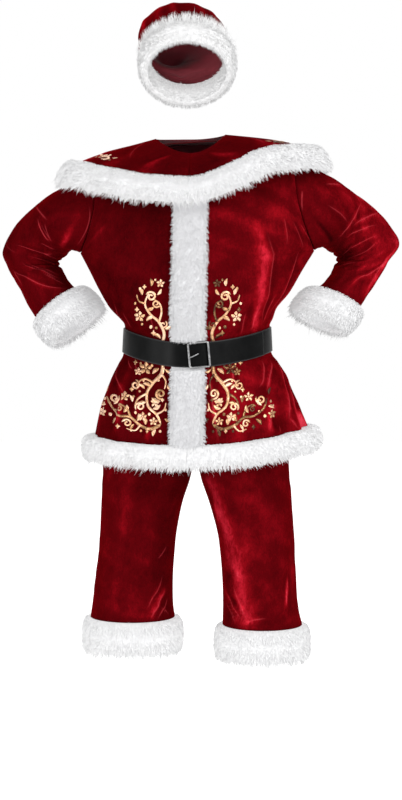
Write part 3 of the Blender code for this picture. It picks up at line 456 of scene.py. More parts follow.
def velvetFinish():
    # panne velvet: mottled patches, fine crushed grain, painted sheen bands, painted highlights on fold
    # crests and painted shade in troughs, red sheen
    look = velvetLook
    finish = Finish("burgundyPanneVelvet", **look["sockets"])
    patches, crush, grain = finish.mottled(*look["mottle"])
    # lie is the painted sheen with crest highlights and trough shade; ridge and away place the painted line
    # along narrow crests
    lie, ridge, away = finish.storedParts("nap")
    near = finish.mapped(finish.math("ABSOLUTE", away), crestLine["core"], crestLine["edge"], 1, 0)
    line = finish.math("MULTIPLY", ridge, near)
    # places with more painted sheen are crushed more
    crushed = finish.math("MULTIPLY", crush, finish.mapped(lie, *look["crushed"]))
    mixed = finish.sum(finish.sum(patches, crushed, look["patchShare"], 1.0), grain, 1.0, look["grainShare"])
    nap = finish.sum(finish.sum(mixed, lie, 1.0, look["paintedSheenShare"]), line, 1.0, crestLine["share"])
    # painted highlight: the colour turns paler along narrow crests
    paintedHighlight = finish.mapped(line, 0, 1, 0, crestLine["paintedHighlight"])
    colour = finish.ramp(nap, look["shades"], "LINEAR")
    finish.into("Base Color", finish.towards(colour, paintedHighlight, crestLine["pale"]))
    finish.into("Roughness", finish.mapped(nap, *look["roughness"]))
    finish.bump(finish.sum(crush, grain, 0.6, 0.5), *look["bump"])
    return finish.material


def reverseFinish():
    look = reverseLook
    finish = Finish("velvetReverse", Roughness=0.85, Sheen_Weight=0.15)
    patches, _, grain = finish.mottled(*look["mottle"])
    finish.into("Base Color", finish.ramp(finish.sum(patches, grain, 0.5, 0.5), look["shades"]))
    finish.bump(grain, *look["bump"])
    return finish.material


def furFinish():
    look = furLook
    finish = Finish("whitePlushFur", **look["sockets"])
    patches, _, grain = finish.mottled(*look["mottle"])
    mottling = finish.sum(patches, grain, look["patchShare"], look["grainShare"])
    # painted shade: darker towards the blades' roots and the pile's body, shifted by each piece's painted
    # light
    toneAndPaintedLight = finish.sum(finish.stored("tipness"), mottling, look["tipShare"], 1.0)
    shade = finish.ramp(toneAndPaintedLight, look["shades"], "LINEAR")
    finish.into("Base Color", shade)
    # painted light: the fur glows in its own colour, standing in for light passed on from hair to hair
    finish.into("Emission Color", shade)  # light that a deep white pile passes on from hair to hair
    finish.into("Normal", finish.softened("lie", look["softened"]))
    return finish.material


def leatherFinish():
    look = leatherLook
    finish = Finish("blackBeltLeather", Specular_IOR_Level=0.08)
    patches, _, grain = finish.mottled(*look["mottle"])
    # the painted highlight along the edges lightens the mottled black
    toneAndPaintedLight = finish.sum(patches, finish.stored("edgeHighlight"), look["patchShare"], look["edgeHighlightShare"])
    finish.into("Base Color", finish.ramp(toneAndPaintedLight, look["shades"]))
    finish.into("Roughness", finish.mapped(patches, *look["roughness"]))
    finish.bump(grain, *look["bump"])
    return finish.material


def metalFinish():
    look = metalLook
    finish = Finish("greyBuckleMetal", Metallic=1.0)
    patches, _, grain = finish.mottled(*look["mottle"])
    finish.into("Base Color", finish.ramp(patches, look["shades"]))
    finish.into("Roughness", finish.mapped(grain, *look["roughness"]))
    return finish.material


def foilFinish():
    look = foilLook
    finish = Finish("goldFoil", Metallic=0.75)
    patches, crush, grain = finish.mottled(*look["mottle"])
    coarse = finish.sum(patches, crush, look["patchShare"], look["crushShare"])
    mixed = finish.sum(coarse, grain, 1.0, look["grainShare"])
    # painted reflection: colour from dark bronze to pale gold by the mottle and each motif's stored shine
    shine = finish.sum(mixed, finish.stored("shine"), 1.0, look["shineShare"])
    finish.into("Base Color", finish.ramp(shine, look["shades"]))
    finish.into("Roughness", finish.mapped(grain, *look["roughness"]))
    finish.bump(grain, *look["bump"])
    return finish.material


makeStudio()
finishes = dict(velvet=velvetFinish(), reverse=reverseFinish(), fur=furFinish(), belt=leatherFinish(),
                buckle=metalFinish(), foil=foilFinish())
print("studio and finishes made")


# jacket body

jacket = dict(
    # (left_x, left_z, right_x, right_z, front_x, front_y, front_z, back_x, back_y, back_z) from the hem seam
    # to the armpits
    rows=[
        (-215, -682, 273, -660, -3, -188, -690, 30, 182, -694),
        (-203, -622, 255, -614, -3, -181, -637, 28, 173, -634),
        (-190, -582, 240, -577, -2, -173, -601, 26, 165, -590),
        (-176, -545, 226, -541, -1, -163, -567, 25, 155, -550),
        (-161, -514, 209, -511, 0, -152, -539, 23, 144, -514),
        (-151, -490, 195, -487, 0, -143, -517, 22, 134, -482),
        (-148, -431, 192, -428, 0, -141, -461, 22, 132, -420),
        (-158, -412, 197, -408, 0, -147, -441, 21, 137, -402),
        (-184, -384, 210, -382, 0, -155, -414, 18, 145, -374),
        (-208, -344, 241, -344, 0, -161, -374, 16, 150, -338),
        (-231, -298, 268, -298, 2, -163, -320, 16, 152, -290),
        (-252, -258, 296, -252, 3, -158, -266, 16, 150, -242)],
    # places, counted in rows: the belt's edges, the armpits and the shoulder seam
    beltLow=5, beltTop=6, armpit=11, shoulder=18,
    frontRise=[(4, -150, -205), (5, -134, -150), (5, -110, -96), (6, -76, -46)],
    backRise=[(15, 150, -180), (14, 140, -118), (12, 116, -58), (8, 72, 4)],
    neck={-1: (-68, 4, 0), 1: (80, 4, 10)}, shoulderPoint={-1: (-222, 0, -68), 1: (250, 0, -36)},
    beltMiddle=5.5, beltHalf=0.55, pit=4, ridgeFrom=6.5, ridgeGap=4.4, cutIn=18, seamGap=1.0, inwards=3,
    axisX=18,  # the jacket's upright axis
    folds=[
        (-24, 7, 6), (-47, 8, 9), (-71, 8, 8), (-93, 8, 7), (-116, 9, 11), (-139, 9, 9), (-163, 9, 12),
        (176, 9, 10), (153, 9, 13), (130, 9, 10), (108, 8, 12), (86, 7, 11), (66, 7, 14), (46, 7, 9),
        (25, 7, 6)],
    gathers=[
        (-62, 7, 4, 2.0), (-38, 6, 3, 1.6), (36, 6, 4, 2.2), (56, 6, 6, 2.6), (78, 7, 5, 2.0),
        (104, 7, 5, 2.0), (128, 8, 6, 2.4), (152, 8, 5, 2.0), (178, 8, 6, 2.4), (-154, 8, 5, 2.0),
        (-130, 8, 6, 2.2), (-106, 7, 5, 2.0)],
    degree=3.3,
    # creases as (degrees from the centre line, height, the same at the other end, bow, width, crest's height)
    creases={
        (-1, -1): [
            (88, -504, 46, -586, 4, 5, 3), (66, -500, 52, -524, 2, 4.5, 2), (54, -500, 43, -532, 2, 4.5, 2),
            (80, -540, 62, -640, 5, 8, 3), (40, -520, 34, -640, 3, 7, 2.5), (84, -540, 80, -688, 0, 9, 4),
            (52, -560, 50, -690, -4, 10, 3), (24, -640, 26, -700, 0, 7, 2.5),
            (76, -425, 60, -372, 5, 5, 2.2), (60, -432, 54, -390, 3, 4.5, 1.5),
            (82, -250, 46, -172, 6, 8, 1.2), (76, -290, 44, -226, 8, 9, 1.0),
            (87, -140, 86, -236, -6, 5, 2.2), (30, -445, 27, -395, 2, 5, 1.6)],
        (1, -1): [
            (33, -170, 56, -440, -12, 9, 1.8), (38, -200, 60, -436, -10, 4.5, 1.6),
            (58, -246, 69, -415, 5, 4, 2.6), (60, -428, 56, -350, -4, 4.5, 2.2),
            (50, -446, 48, -370, 3, 4.5, 1.8), (40, -450, 38, -390, 2, 4.5, 1.6),
            (87, -150, 86, -214, 0, 5, 2.4), (72, -186, 88, -236, -3, 5, 2.2),
            (60, -500, 44, -566, 4, 4.5, 2.6), (71, -503, 49, -578, -5, 4.5, 2.8),
            (87, -501, 59.5, -650, -10, 5, 3.6), (50, -580, 43, -662, 2, 4.5, 2.2),
            (89, -520, 73, -650, -3, 5.5, 3.4), (13.4, -519, 15.6, -690, -2, 4.5, 2.4),
            (30, -512, 26, -570, 2, 5, 2.2), (61, -636, 65, -668, 2, 4.5, 2.4),
            (52, -650, 50, -690, 0, 4.5, 2.2), (80, -640, 78, -692, 0, 6, 2.4),
            (46, -620, 44, -692, -2, 7, 2.4), (80, -290, 60, -262, 6, 7, 1.4),
            (62, -180, 64, -250, 6, 6, 1.4), (54, -170, 50, -240, 3, 5, 1.2),
            (84, -330, 86, -400, 0, 6, 1.6)],
        (-1, 1): [
            (20, -508, 16, -620, 5, 8, 4), (38, -508, 36, -680, -5, 9, 5), (55, -510, 58, -640, 5, 8, 4),
            (72, -512, 70, -690, -4, 9, 5), (46, -560, 47, -690, 0, 8, 3), (30, -412, 26, -330, 5, 9, 3.5),
            (50, -405, 44, -300, -6, 10, 3.5), (68, -412, 60, -340, 4, 8, 3),
            (74, -262, 30, -206, 14, 14, 4), (66, -310, 34, -262, 10, 12, 3),
            (12, -400, 10, -350, 0, 7, 2.5)],
        (1, 1): [
            (16, -508, 19, -640, -5, 8, 4), (34, -508, 31, -610, 4, 8, 4), (50, -510, 53, -690, 5, 9, 5),
            (68, -512, 66, -650, -5, 8, 4), (82, -515, 84, -690, 3, 8, 4), (26, -560, 24, -690, 4, 9, 3),
            (24, -410, 21, -325, -4, 9, 3.5), (44, -405, 40, -310, 5, 9, 3.5),
            (62, -410, 56, -330, -4, 8, 3), (76, -256, 34, -198, 14, 14, 4),
            (70, -304, 38, -250, -10, 12, 3), (80, -410, 76, -350, 0, 7, 3)]},
    # painted sheen over each panel as a whole, and bands of painted sheen in the creases' terms
    napLie={(-1, -1): -0.34, (1, -1): 0.10, (-1, 1): 0.0, (1, 1): 0.0},
    naps={
        (-1, -1): [
            (52, -150, 60, -260, 0, 26, 0.22), (60, -520, 50, -640, 0, 20, 0.55),
            (30, -600, 24, -690, 0, 22, 0.3)],
        (1, -1): [
            (32, -185, 38, -300, -4, 11, 0.36), (37, -290, 56, -450, -8, 9, 0.45),
            (82, -290, 84, -440, 0, 26, 0.5), (18, -330, 22, -200, 0, 34, -0.12),
            (84, -630, 68, -700, 0, 26, 1.3), (60, -520, 48, -640, 0, 16, 0.3),
            (30, -540, 24, -690, 0, 18, 0.25)],
        (-1, 1): [(40, -120, 44, -420, 8, 28, 0.4), (50, -520, 48, -680, 0, 30, 0.4)],
        (1, 1): [(46, -120, 50, -420, -8, 28, 0.4), (40, -520, 44, -680, 0, 30, 0.4)]},
    leastHalf=40, roughWave=75, rough=1.1, rowStep=4.0, frontColumns=88, backColumns=40, upperRows=44,
    wall=2.0, centreRadius=200, sideRadius=160)


def fourPoints(rows):
    # a table's rows as the left, right, front and back points of a ring
    leftX, leftZ, rightX, rightZ = (rows[..., k] for k in range(4))
    left = np.stack([leftX, 0 * leftX, leftZ], axis=-1)
    right = np.stack([rightX, 0 * rightX, rightZ], axis=-1)
    return left, right, rows[..., 4:7], rows[..., 7:10]


def bodyStandOut(places, angle):
    # how far the skirt's folds and the gathers at the belt stand out: sums of bells round the body
    grow = np.clip((jacket["beltLow"] - places) / jacket["beltLow"], 0, 1) ** 0.8
    folds = sum(high * wave(angle, centre, width) for centre, width, high in jacket["folds"])
    total = (folds - jacket["inwards"]) * grow
    for centre, width, high, reach in jacket["gathers"]:
        above = np.clip((places - jacket["beltTop"]) / reach, 0, 1)
        total = total + high * wave(angle, centre, width) * 4 * above * (1 - above)
    return total


def armhole(side, face, turn):
    # the armhole's edge, from the armpit at 0 to the shoulder point at pi: half an ellipse, cut in
    left, right, _, _ = fourPoints(np.array(jacket["rows"][-1], float))
    low, high = (left if side < 0 else right), np.array(jacket["shoulderPoint"][side], float)
    depth = sleeves[side]["rows"][0][-1]
    middle, reach = (low + high) / 2, (high - low) / 2
    across = np.array((0, face * depth, 0)) * np.sin(turn)[..., None]
    points = middle - reach * np.cos(turn)[..., None] + across
    points[..., 0] -= side * jacket["cutIn"] * np.sin(turn) ** 2
    return points


def upperSection(t, s, side, face):
    # quarter sections above the armpits; t is 0 there, 4 at the pit of the neck and 7 at the shoulder seam
    pit, seam = jacket["pit"], jacket["shoulder"] - jacket["armpit"]
    _, _, front, back = fourPoints(np.array(jacket["rows"][-1], float))
    rise = np.vstack([front if face < 0 else back, jacket["frontRise"] if face < 0 else jacket["backRise"]])
    collarTurn = np.clip(t - pit, 0, seam - pit) / (seam - pit) * math.pi / 2
    collar = quarter(rise[-1], np.array(jacket["neck"][side], float), collarTurn)
    corner = np.where((t > pit)[..., None], collar, through(rise, np.minimum(t, pit)))
    edge = armhole(side, face, t / seam * math.pi)
    apart = face * jacket["ridgeGap"] / 2 * ease((t - jacket["ridgeFrom"]) / (seam - jacket["ridgeFrom"]))
    ridge = apart[..., None] * np.array((0, 1.0, 0))
    return quarter(corner + ridge, edge + ridge, s), corner, edge


def bodyPoints(side, face, places, s, fine=True, lift=0.0):
    # places run from the hem seam over the armpits to the shoulder seam, s from the centre line to the side;
    # fine creases are added along the way out of the body
    rows = through(jacket["rows"], np.minimum(places, jacket["armpit"]))
    left, right, front, back = fourPoints(rows)
    edge, corner = (left if side < 0 else right), (front if face < 0 else back)
    low = quarter(corner, edge, s)
    rise = np.clip(places, jacket["armpit"], jacket["shoulder"]) - jacket["armpit"]
    upper = upperSection(rise, s, side, face)
    above = (places > jacket["armpit"])[..., None]
    points, corner, edge = (np.where(above, high, below) for high, below in zip(upper, (low, corner, edge)))
    degrees = np.degrees(s)
    angle = side * (degrees if face < 0 else 180 - degrees)
    stand = bodyStandOut(places, angle) * ~above[..., 0]
    halfWidth = np.maximum(np.abs(edge[..., 0] - corner[..., 0]), jacket["leastHalf"])
    halfDepth = np.maximum(np.abs(corner[..., 1] - edge[..., 1]), jacket["leastHalf"])
    outX = (points[..., 0] - corner[..., 0]) / halfWidth ** 2
    outY = (points[..., 1] - edge[..., 1]) / halfDepth ** 2
    outward = unit(np.stack([outX, outY, np.zeros(np.shape(outX))], axis=-1))
    crest, marks = np.zeros(np.shape(stand)), None
    if fine:
        u, v, panel = degrees * jacket["degree"], points[..., 2], (side, face)
        crest, ridge, away = creaseField(u, v, scaled(jacket["creases"][panel], jacket["degree"]))
        crest = crest + jacket["rough"] * smoothNoise(u, v, jacket["roughWave"], 11 + 2 * side + face)
        # creases fade at the seams, under the belt and at both ends
        fade = ease(degrees / 5) * ease((90 - degrees) / 7)
        fade = fade * ease((np.abs(places - jacket["beltMiddle"]) - jacket["beltHalf"]) / 0.5)
        fade = fade * (ease(places / 0.5) * ease((jacket["shoulder"] - places) / 1.5))
        crest, ridge = crest * fade, ridge * fade
        # painted light: highlights on crests, shade in troughs, the panel's painted sheen and its sheen bands
        paintedBands = paintedSheenField(u, v, scaled(jacket["naps"][panel], jacket["degree"]))
        nap = crest / heightPerPaintedLight + jacket["napLie"][panel] + paintedBands
        marks = np.stack([nap, ridge, away], axis=-1)
    return points + outward * (stand + crest + lift)[..., None], marks


def gridPiece(name, points, marks, wall, node, inside, closed=False):
    # a velvet piece from a grid of points; inside gives one point within it for each row
    flat, faces = gridShell(points, inside, closedColumns=closed)
    mesh = meshFrom(name, flat, [faces], {"nap": marks})
    addPiece(name, mesh, [finishes["velvet"], finishes["reverse"]], wall, [node])


def bodyRows():
    # places at even steps of height up to the armpits, then even steps to the shoulder seam
    heights = np.array(jacket["rows"], float)[:, 6]
    climb = np.concatenate([[0], np.cumsum(np.abs(np.diff(heights)))])
    lower = np.interp(np.arange(0, climb[-1], jacket["rowStep"]), climb, np.arange(len(climb)))
    return np.concatenate([lower, np.linspace(jacket["armpit"], jacket["shoulder"], jacket["upperRows"])])


def seamTurn(radius):
    # the angle of half a seam's gap
    return jacket["seamGap"] / 2 / radius


def makeJacketBody():
    places = bodyRows()[:, None]
    last = math.pi / 2 - seamTurn(jacket["sideRadius"])
    for side, word in bothSides:
        s = np.linspace(seamTurn(jacket["centreRadius"]), last, jacket["frontColumns"])[None]
        points, marks = bodyPoints(side, -1, *np.broadcast_arrays(places, s))
        middle = uprightLine(jacket["axisX"], points)
        gridPiece("velvetFront_" + word, points, marks, jacket["wall"], "jacket_front_" + word, middle)
    # the back runs from one side seam over the centre to the other
    s = np.linspace(0, last, jacket["backColumns"])[None]
    right, rightMarks = bodyPoints(-1, 1, *np.broadcast_arrays(places, s[:, ::-1]))
    left, leftMarks = bodyPoints(1, 1, *np.broadcast_arrays(places, s[:, 1:]))
    points, marks = np.concatenate([right, left], axis=1), np.concatenate([rightMarks, leftMarks], axis=1)
    middle = uprightLine(jacket["axisX"], points)
    gridPiece("velvetBack", points, marks, jacket["wall"], "jacket_back", middle)


# sleeves

sleeves = {
    # rows of (outer_x, outer_z, inner_x, inner_z, line_y, half_depth) from the armhole to the cuff; dents of
    # (row, degrees, row width, degrees width, depth); creases of (degrees, row, degrees, row, bow, width,
    # height) where 0 degrees is the inner outline, 90 the front, 180 the outer outline and 270 the back
    -1: dict(
        rows=[
            (-224, -68, -254, -255, 0, 78), (-278, -94, -262, -252, 12, 77),
            (-327, -119, -273, -250, 30, 74), (-366, -146, -283, -256, 50, 71),
            (-403, -179, -293, -266, 70, 69), (-429, -215, -302, -273, 86, 68),
            (-445, -253, -306, -278, 92, 68), (-432, -290, -304, -288, 88, 66),
            (-415, -319, -298, -299, 80, 64), (-399, -345, -290, -313, 70, 62),
            (-378, -384, -278, -331, 58, 60), (-357, -416, -259, -343, 50, 60)],
        creases=[
            (155, 2.5, 97, 1.72, 2, 4.5, 2.2), (121, 2.23, 58, 2.23, -1, 4.5, 2.8),
            (130, 5.2, 38, 3.2, -2, 4.5, 2.8), (81, 3.3, 39, 2.5, 9, 4.5, 2.4),
            (100, 1.9, 57, 2.12, 0, 4.5, 1.8), (80, 4.0, 14, 4.8, 24, 4.5, 2.6),
            (98, 5.8, 26, 8.0, 32, 5, 2.6), (111, 6.6, 36, 9.7, -20, 4.5, 2.8),
            (157, 6.9, 30, 10.7, -27, 4.5, 2.6), (150, 7.5, 146, 9.2, 0, 5, 2.0),
            (97, 6.7, 32, 9.35, -20, 4.5, 2.0), (82, 8.9, 33, 10.3, 0, 4.5, 2.0),
            (102, 0.22, 30, 0.68, 15, 4.5, 2.2), (97, 0.75, 27, 2.3, 17, 9, 2.0),
            (112, 5.8, 172, 5.1, 5, 6, 0.9), (338, 6.2, 236, 4.7, -8, 6, 3.6), (332, 7.0, 222, 6.4, 6, 5, 3),
            (335, 7.8, 214, 8.4, -6, 5, 3), (320, 5.4, 262, 2.0, 8, 6, 3.2),
            (300, 9.0, 230, 10.0, 5, 5, 2.4), (282, 1.0, 246, 3.2, 6, 6, 2.4),
            (352, 4.9, 330, 1.6, -4, 5, 2.6), (10, 9.4, -16, 10.6, 3, 5, 1.6)]),
    1: dict(
        rows=[
            (252, -36, 298, -249, 0, 80), (310, -64, 305, -245, 12, 79), (354, -88, 315, -243, 30, 76),
            (396, -114, 326, -247, 50, 73), (442, -148, 338, -254, 70, 70), (484, -190, 349, -262, 86, 69),
            (506, -235, 353, -269, 92, 69), (479, -278, 353, -279, 88, 67), (460, -310, 347, -290, 80, 65),
            (441, -339, 340, -304, 70, 63), (423, -363, 328, -322, 58, 62), (407, -389, 301, -344, 50, 62)],
        creases=[
            (147, 3.12, 42, 2.04, 7, 4.5, 2.6), (170, 4.3, 84, 2.55, -6, 4.5, 2.8),
            (134, 4.45, 58, 2.55, -2, 4.5, 2.2), (117, 4.88, 50, 4.5, 5, 4.5, 2.2),
            (158, 6.6, 92, 10.2, -3, 5, 3), (150, 5.8, 145, 10.2, 4, 4.5, 3),
            (78, 0.48, 29, 1.93, 3, 5, -2.6), (130, 0.98, 147, 1.7, 0, 4.5, 2.4),
            (110, 0.25, 79, 0.05, 0, 5, 2.0), (98, 1.0, 84, 2.1, 2, 4.5, 1.4),
            (84, 7.6, 28, 8.6, 4, 4.5, 1.2), (68, 4.15, 24, 5.5, 0, 4.5, 2), (172, 3.0, 178, 5.0, 3, 5, 2),
            (110, 5.2, 40, 6.6, -4, 5, 1.8), (336, 6.1, 232, 4.2, -8, 6, 3.6), (330, 6.9, 222, 6.3, 6, 5, 3),
            (336, 7.8, 210, 8.6, -6, 5, 3), (318, 5.3, 258, 1.8, 8, 6, 3.2), (302, 9.1, 226, 9.8, 5, 5, 2.4),
            (284, 1.0, 240, 2.8, 6, 6, 2.4), (350, 4.8, 328, 1.5, -4, 5, 2.6),
            (8, 9.5, -18, 10.5, 3, 5, 1.6)])}
sleeves[-1].update(napLie=-0.22, naps=[
    (99, 0.5, 27, 2.3, 17, 10, 0.3), (96, 5.6, 150, 5.2, 0, 20, 0.15), (50, 4.6, 40, 9.6, 0, 22, 0.22),
    (120, 8.6, 60, 10.8, 0, 24, 0.25), (300, 3, 250, 6, 0, 40, 0.3)])
sleeves[1].update(napLie=-0.10, naps=[
    (157, 5.6, 152, 10.5, 0, 13, 0.5), (132, 0.6, 130, 10.2, 0, 58, 0.44), (164, 2.6, 172, 5.4, 0, 20, 0.4),
    (34, 1.2, 40, 7.0, 0, 26, -0.35), (78, 0.48, 29, 1.93, 3, 5, -0.25), (300, 3, 250, 6, 0, 40, 0.3)])
sleeves[-1]["dents"] = sleeves[1]["dents"] = [
    (2.0, 60, 0.45, 60, 5), (3.2, 70, 0.40, 70, 5), (4.4, 50, 0.40, 65, 4), (5.3, 30, 0.35, 55, 3.5),
    (6.1, 30, 0.35, 55, 3.5), (6.9, 45, 0.35, 65, 4), (8.1, 70, 0.40, 60, 4), (2.6, 275, 0.45, 60, 6),
    (4.4, 290, 0.40, 70, 7), (5.7, 300, 0.30, 75, 8), (6.9, 295, 0.30, 70, 7), (9.0, 280, 0.50, 60, 5)]
sleeveForm = dict(
    seam=0.4, blend=1.5, tuckIn=9.0, tuckUnder=2.9, tuckReach=2.5, tuckRows=5, dentStart=1.2,
    creaseStart=1.1, creaseEnd=0.7, rowLength=43, girth=75, rowCount=108, sides=104, wall=2.0, roughWave=60,
    rough=1.1, roughAcross=1.6, roughSkew=60, probe=0.05,
    # where the depth is turned straight to the front: rows at the armhole; share, row, rows at the elbow
    straightRows=2, elbow=(0.8, 6, 2.0))


def sleeveFrame(side, places):
    # middles, ways along and across to the outer outline, half breadths, ways to the front, half depths
    form = sleeveForm

    def outlines(at):
        rows = through(sleeves[side]["rows"], at)
        return rows[..., (0, 4, 1)], rows[..., (2, 4, 3)], rows[..., 5:]

    outer, inner, depth = outlines(places)
    ahead, behind = outlines(places + form["probe"]), outlines(places - form["probe"])
    along = unit(ahead[0] + ahead[1] - behind[0] - behind[1])
    across = unit(outer - inner)
    front = unit(np.cross(across, along))
    front = front * -np.sign(front[..., 1:2])
    share, row, rows = form["elbow"]
    straight = np.clip(1 - places / form["straightRows"], 0, 1)
    straight = np.maximum(straight, share * fall(places - row, rows))[..., None]
    front = unit(front * (1 - straight) + np.array((0, -1.0, 0)) * straight)
    half = np.linalg.norm(outer - inner, axis=-1)[..., None] / 2
    return (outer + inner) / 2, along, across, half, front, depth


def sleevePoints(side, places, turn):
    # ellipses round the arm's line, with broad dents and finer creases along the way out from it
    form, own = sleeveForm, sleeves[side]
    centre, _, across, half, front, depth = sleeveFrame(side, places)
    reach = np.cos(turn)[..., None] * half * -across + np.sin(turn)[..., None] * depth * front
    degrees, last = np.degrees(turn), len(own["rows"]) - 1
    dent = sum(deep * fall(places - row, rowWidth) * wave(degrees, angle, width)
               for row, angle, rowWidth, width, deep in own["dents"])
    dent = dent * np.clip(places / form["dentStart"], 0, 1) * np.clip((last - places) / form["blend"], 0, 1)
    u, v = turn * form["girth"], places * form["rowLength"]
    scales, around = (math.radians(1) * form["girth"], form["rowLength"]), 2 * math.pi * form["girth"]
    crest, ridge, away = creaseField(u, v, scaled(own["creases"], *scales), around)
    roughU, roughV = np.cos(turn) * form["girth"] * form["roughAcross"], v + form["roughSkew"] * np.sin(turn)
    crest = crest + form["rough"] * smoothNoise(roughU, roughV, form["roughWave"], 5 + side)
    crest = crest * ease(places / form["creaseStart"]) * ease((last - places) / form["creaseEnd"])
    points = centre + reach + unit(reach) * (crest - dent)[..., None]
    blend = np.clip(1 - places / form["blend"], 0, 1)
    points[..., 0] += side * (form["seam"] - jacket["cutIn"] * np.sin(turn) ** 2) * blend
    # painted light: highlights on crests, shade in troughs, the sleeve's painted sheen and its sheen bands
    nap = crest / heightPerPaintedLight + own["napLie"] + paintedSheenField(u, v, scaled(own["naps"], *scales), around)
    return points, np.stack([nap, ridge, away], axis=-1), centre


def makeSleeves():
    # the first rows turn in under the body's panels at the armhole
    form, tucked = sleeveForm, sleeveForm["tuckRows"]
    turn = wholeTurn(form["sides"])[None]
    for side, word in bothSides:
        places = np.linspace(0, len(sleeves[side]["rows"]) - 1, form["rowCount"])[:, None]
        points, marks, centre = sleevePoints(side, *np.broadcast_arrays(places, turn))
        share = np.linspace(1, 1 / tucked, tucked)[:, None, None]
        inward = unit(centre[:1] - points[:1]) * form["tuckUnder"] * np.minimum(share * form["tuckReach"], 1)
        tuck = points[:1] + inward - np.array((side * form["tuckIn"], 0, 0)) * share
        points = np.concatenate([tuck, points])
        marks = np.concatenate([np.repeat(marks[:1], tucked, axis=0), marks])
        middle = np.concatenate([np.repeat(centre[:1, 0], tucked, axis=0), centre[:, 0]])
        gridPiece("velvetSleeve_" + word, points, marks, form["wall"], "jacket_sleeve_" + word, middle, True)


# trousers

trousers = {
    # rows of (outer_x, inner_x, z, line_y, half_depth) from the cuff up to the crotch; dents of (z, slope, z
    # width, degrees, degrees width, depth); creases of (degrees, z, degrees, z, bow, width, height), 0
    # degrees at the inseam
    -1: dict(
        rows=[
            (-229, -31, -1109, 4, 92), (-224, -35, -1072, 4, 92), (-217, -35, -1013, 4, 93),
            (-210, -31, -954, 4, 94), (-207, -26, -907, 4, 95), (-204, -13, -842, 4, 97),
            (-202, 4, -790, 4, 98), (-200, 15, -742, 4, 99)],
        dents=[
            (-1090, 0.22, 12, 60, 50, 5), (-1058, 0.25, 12, 55, 50, 5), (-1000, 0.2, 16, 50, 50, 4),
            (-1085, -0.2, 14, 280, 60, 5), (-1030, 0.2, 16, 290, 60, 5), (-800, 0.3, 18, 60, 60, 4)],
        creases=[
            (66, -1107, 34, -1034, 2, 4.5, 2.8), (57, -1110, 22, -1057, 1, 4.5, 2.4),
            (69, -1081, 39, -1002, 0, 4, 2.0), (112, -1096, 128, -1000, 8, 12, 0.8),
            (70, -1010, 82, -820, 10, 16, 0.7), (104, -960, 112, -760, -8, 14, 0.6),
            (56, -966, 38, -934, 1, 4.5, 1.8), (140, -1060, 150, -880, 6, 13, 0.8),
            (52, -880, 28, -790, 5, 10, 0.8), (26, -1100, 44, -1078, 2, 5, 2.5),
            (90, -760, 60, -690, 6, 12, 4), (150, -800, 130, -700, -5, 12, 1),
            (250, -1095, 300, -1050, 6, 8, 4), (230, -1060, 285, -1010, -5, 8, 4),
            (270, -1000, 262, -820, 8, 15, 1.6), (220, -960, 228, -780, -6, 14, 1.3),
            (310, -900, 335, -800, 5, 10, 1.3), (200, -1080, 206, -940, 5, 11, 1.1)]),
    1: dict(
        rows=[
            (268, 81, -1127, 0, 92), (257, 82, -1072, 0, 92), (254, 80, -1013, 0, 93),
            (251, 75, -954, 0, 94), (249, 68, -907, 0, 95), (244, 50, -842, 2, 97), (240, 32, -790, 3, 98),
            (236, 21, -742, 4, 99)],
        dents=[
            (-1095, -0.2, 12, 40, 45, 6), (-1064, -0.2, 12, 40, 45, 5), (-1010, -0.2, 16, 50, 50, 4),
            (-1085, 0.2, 14, 280, 60, 5), (-1030, -0.2, 16, 290, 60, 5), (-800, 0.3, 18, 60, 60, 4)],
        creases=[
            (16, -1037, 57, -1108, 1, 4.5, 2.8), (42, -1023, 67, -1108, -1, 4.5, 2.4),
            (19, -1066, 48, -1115, -2, 4.5, 2.0), (60, -1112, 98, -1098, 3, 4.5, 1.8),
            (28, -1010, 56, -860, 9, 12, 0.7), (66, -1000, 78, -800, -10, 16, 0.6),
            (131, -1076, 138, -1008, 1, 4.5, 2.4), (128, -1050, 136, -860, 8, 13, 0.8),
            (96, -940, 104, -770, -6, 13, 0.6), (24, -900, 40, -800, 4, 9, 1.1),
            (150, -1100, 154, -960, 5, 10, 1.1), (88, -760, 60, -690, 6, 12, 4),
            (250, -1100, 300, -1060, 6, 8, 4), (230, -1066, 285, -1020, -5, 8, 4),
            (270, -1010, 262, -820, 8, 15, 1.6), (220, -960, 228, -780, -6, 14, 1.3),
            (310, -900, 335, -800, 5, 10, 1.3), (200, -1090, 206, -940, 5, 11, 1.1)])}
trousers[-1].update(napLie=-0.14, naps=[
    (64, -1100, 34, -1030, 0, 11, 0.45), (90, -1100, 84, -1040, 0, 60, 0.2),
    (110, -800, 116, -1000, 0, 30, 0.12), (270, -760, 262, -1060, 0, 40, 0.3)])
trousers[1].update(napLie=0.0, naps=[
    (28, -765, 37, -880, 6, 24, 0.62), (36, -870, 50, -990, 6, 28, 0.68), (50, -980, 66, -1128, 4, 26, 0.66),
    (20, -1050, 50, -1110, 0, 9, 0.35), (131, -1078, 137, -1008, 0, 5, 0.7),
    (270, -760, 262, -1060, 0, 40, 0.3)])
